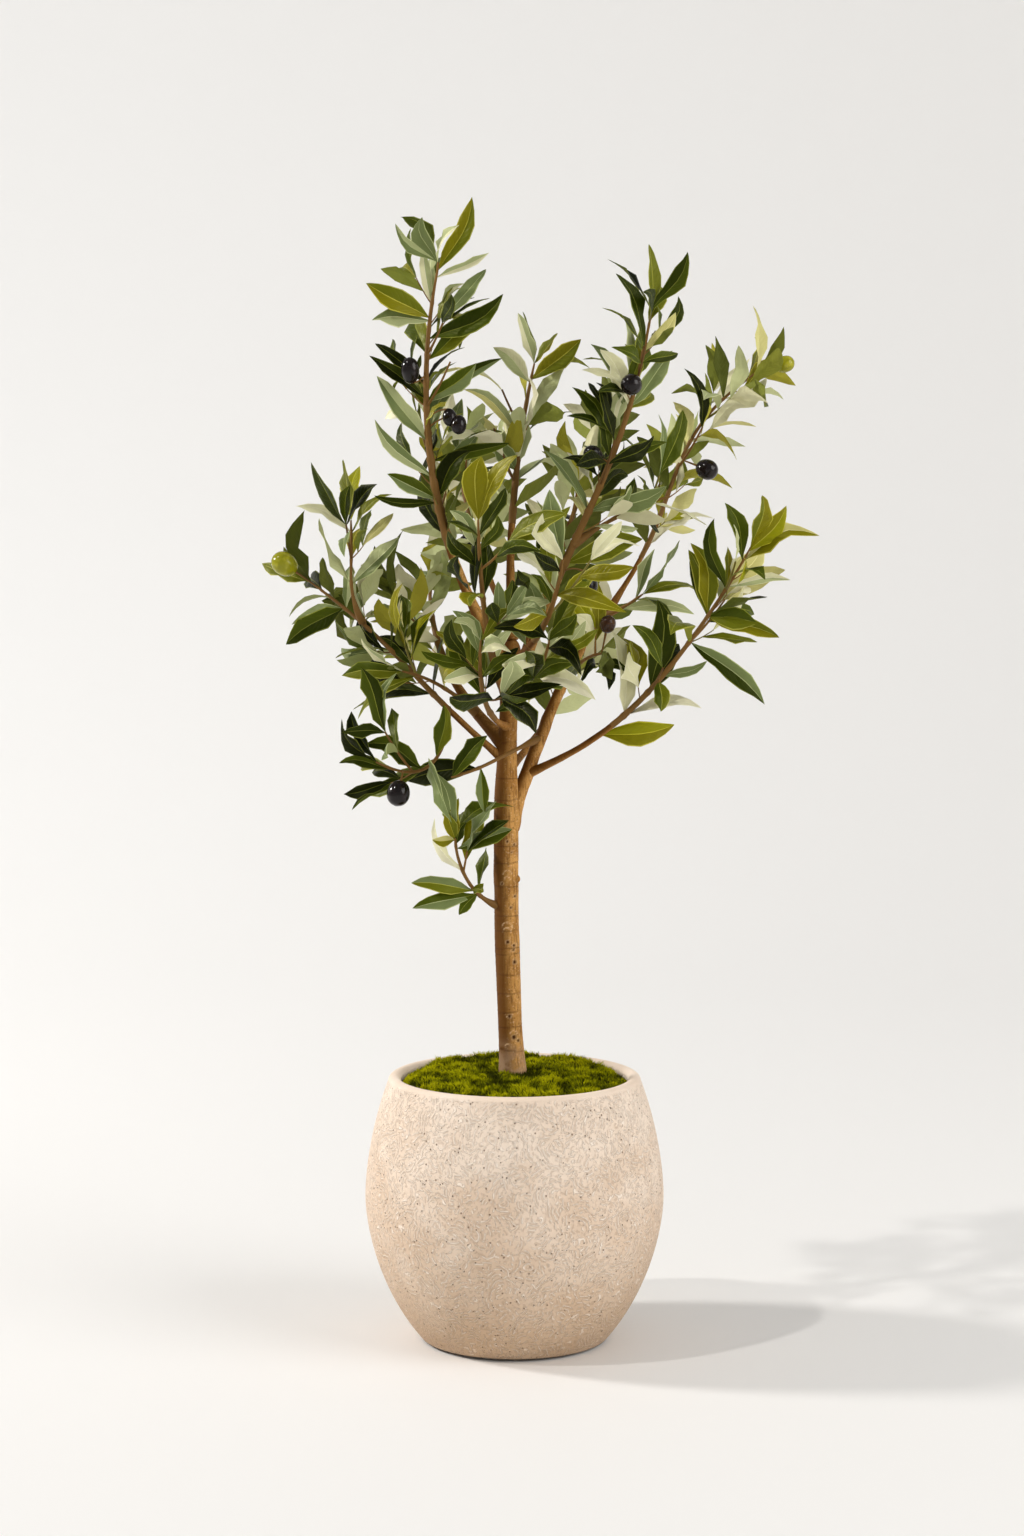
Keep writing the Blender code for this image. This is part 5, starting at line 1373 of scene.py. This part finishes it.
def mossHeight(x, y):
    # the crown's level, falling by a square to the wall, plus two sizes of lump that fade at the trunk, and a bank at the back
    away = np.hypot(x, y)
    share = np.clip((away - moss["crownRadius"]) / (mossEdge - moss["crownRadius"]), 0.0, 1.0)
    lump = sum(mossNoise(x, y, scale, seed) * part for scale, seed, part in moss["lumps"]) - moss["lumpMean"]
    back = np.clip(y / np.maximum(away, 0.001) * 2.0 - 0.5, 0.0, 1.0)
    bank = moss["bank"] * bell(away - moss["bankAt"], moss["bankWidth"]) * back
    calm = np.clip((away - moss["trunkHole"]) / moss["calmAtTrunk"], 0.0, 1.0)
    calm = calm * np.clip((mossEdge + 0.004 - away) / moss["calmAtWall"], 0.15, 1.0)
    return moss["crown"] - (moss["crown"] - moss["edge"]) * share ** 2 + lump * moss["lump"] * calm + bank


def mossMound():
    around = roundTurns(moss["sides"])
    reach = np.linspace(0.004, mossEdge, moss["rings"])
    x, y = reach[:, None] * np.cos(around), reach[:, None] * np.sin(around)
    top = np.stack([x, y, mossHeight(x, y)], -1)
    bottom = np.stack([x[[-1, 0]], y[[-1, 0]], np.full((2, moss["sides"]), moss["low"])], -1)
    points, quads, ends = closeEnds(np.concatenate([top, bottom])[:, ::-1])
    return {"points": points, "faces": [quads, ends], "slots": [0, 0]}


def mossBlades():
    # each blade is a three-sided spike: three points round its root, and a tip that leans by its own lot and its clump's
    draw = np.random.default_rng(moss["seed"])
    count = moss["blades"]
    away = np.sqrt(draw.uniform(moss["trunkHole"] ** 2, (mossEdge - 0.001) ** 2, count))
    turn = draw.uniform(0.0, 2.0 * math.pi, count)
    x, y = away * np.cos(turn), away * np.sin(turn)
    z = mossHeight(x, y) - moss["bladeDepth"]
    length = draw.uniform(*moss["bladeLength"], count)
    sway = np.stack([mossNoise(x, y, moss["clumps"], seed) - 0.5 for seed in (21, 22)], -1) * moss["clumpLean"]
    lean = (sway + draw.normal(0.0, moss["ownLean"], (count, 2))) * moss["lean"]
    inward = np.clip((away + length - mossEdge) / moss["inwardBand"], 0.0, moss["inwardMost"])
    inward = inward[:, None] * -np.stack([np.cos(turn), np.sin(turn)], -1)
    atWall = np.clip((away - mossEdge + moss["wallBand"]) / moss["wallBand"], 0.0, 0.8)
    lean = lean * (1.0 - atWall)[:, None] + inward
    tip = np.stack([x + lean[:, 0] * length * moss["leanReach"], y + lean[:, 1] * length * moss["leanReach"],
                    z + length * moss["stand"]], -1)
    spin = draw.uniform(0.0, 6.28, count)[:, None] + np.arange(3) * 2.0 * math.pi / 3.0
    root = np.stack([x[:, None] + np.cos(spin) * moss["bladeWidth"], y[:, None] + np.sin(spin) * moss["bladeWidth"],
                     np.broadcast_to(z[:, None], spin.shape)], -1)
    points = np.concatenate([root, tip[:, None]], 1).reshape(-1, 3)
    start = np.arange(count)[:, None, None] * 4
    faces = (np.array([[0, 1, 3], [1, 2, 3], [2, 0, 3], [0, 2, 1]]) + start).reshape(-1, 3)
    # painted light and shade: blades on the lumps get lighter tones and blades in the hollows darker ones, by the noise
    # that raises the lumps
    light = (mossNoise(x, y, *moss["lumps"][0][:2]) - 0.5) * moss["contrast"] + moss["lightness"]
    light = light + draw.uniform(*moss["toneLot"], count)
    light = light - moss["footShade"] * bell(away - moss["trunkHole"], moss["footReach"])
    tone = np.clip(light.astype(int), 0, len(moss["tones"]) - 1)
    return {"points": points, "faces": [faces], "slots": [np.repeat(tone, 4)]}


mossItem = makePiece("moss_cushion", [mossMound(), mossBlades()], grainFinishes("moss_", moss))
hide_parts("moss")


# The potting mix under the moss keeps its own solid

mix = {
    "soil": (62, 46, 34), "dark": (48, 34, 24), "light": (104, 80, 56),
    "crumb": 260.0, "chip": 90.0, "chipShare": 0.6, "stretch": (1.0, 1.0, 3.0), "relief": (0.003, 0.9),
}


def mixFinish():
    finish = Finish("potting_mix_grain", seen(*mix["soil"]), 0.95)
    crumb, chip = finish.noise(finish.where(), mix["crumb"], 4.0), finish.noise(finish.where(mix["stretch"]), mix["chip"])
    finish.feed("Base Color", finish.blend(finish.between(crumb, 0.40, 0.70), seen(*mix["dark"]), seen(*mix["light"])))
    finish.relief(crumb + chip * mix["chipShare"], *mix["relief"])
    return finish


mixMade = mixFinish().material
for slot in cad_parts["potting_mix"].material_slots:
    slot.material = mixMade
print("potting mix finished")
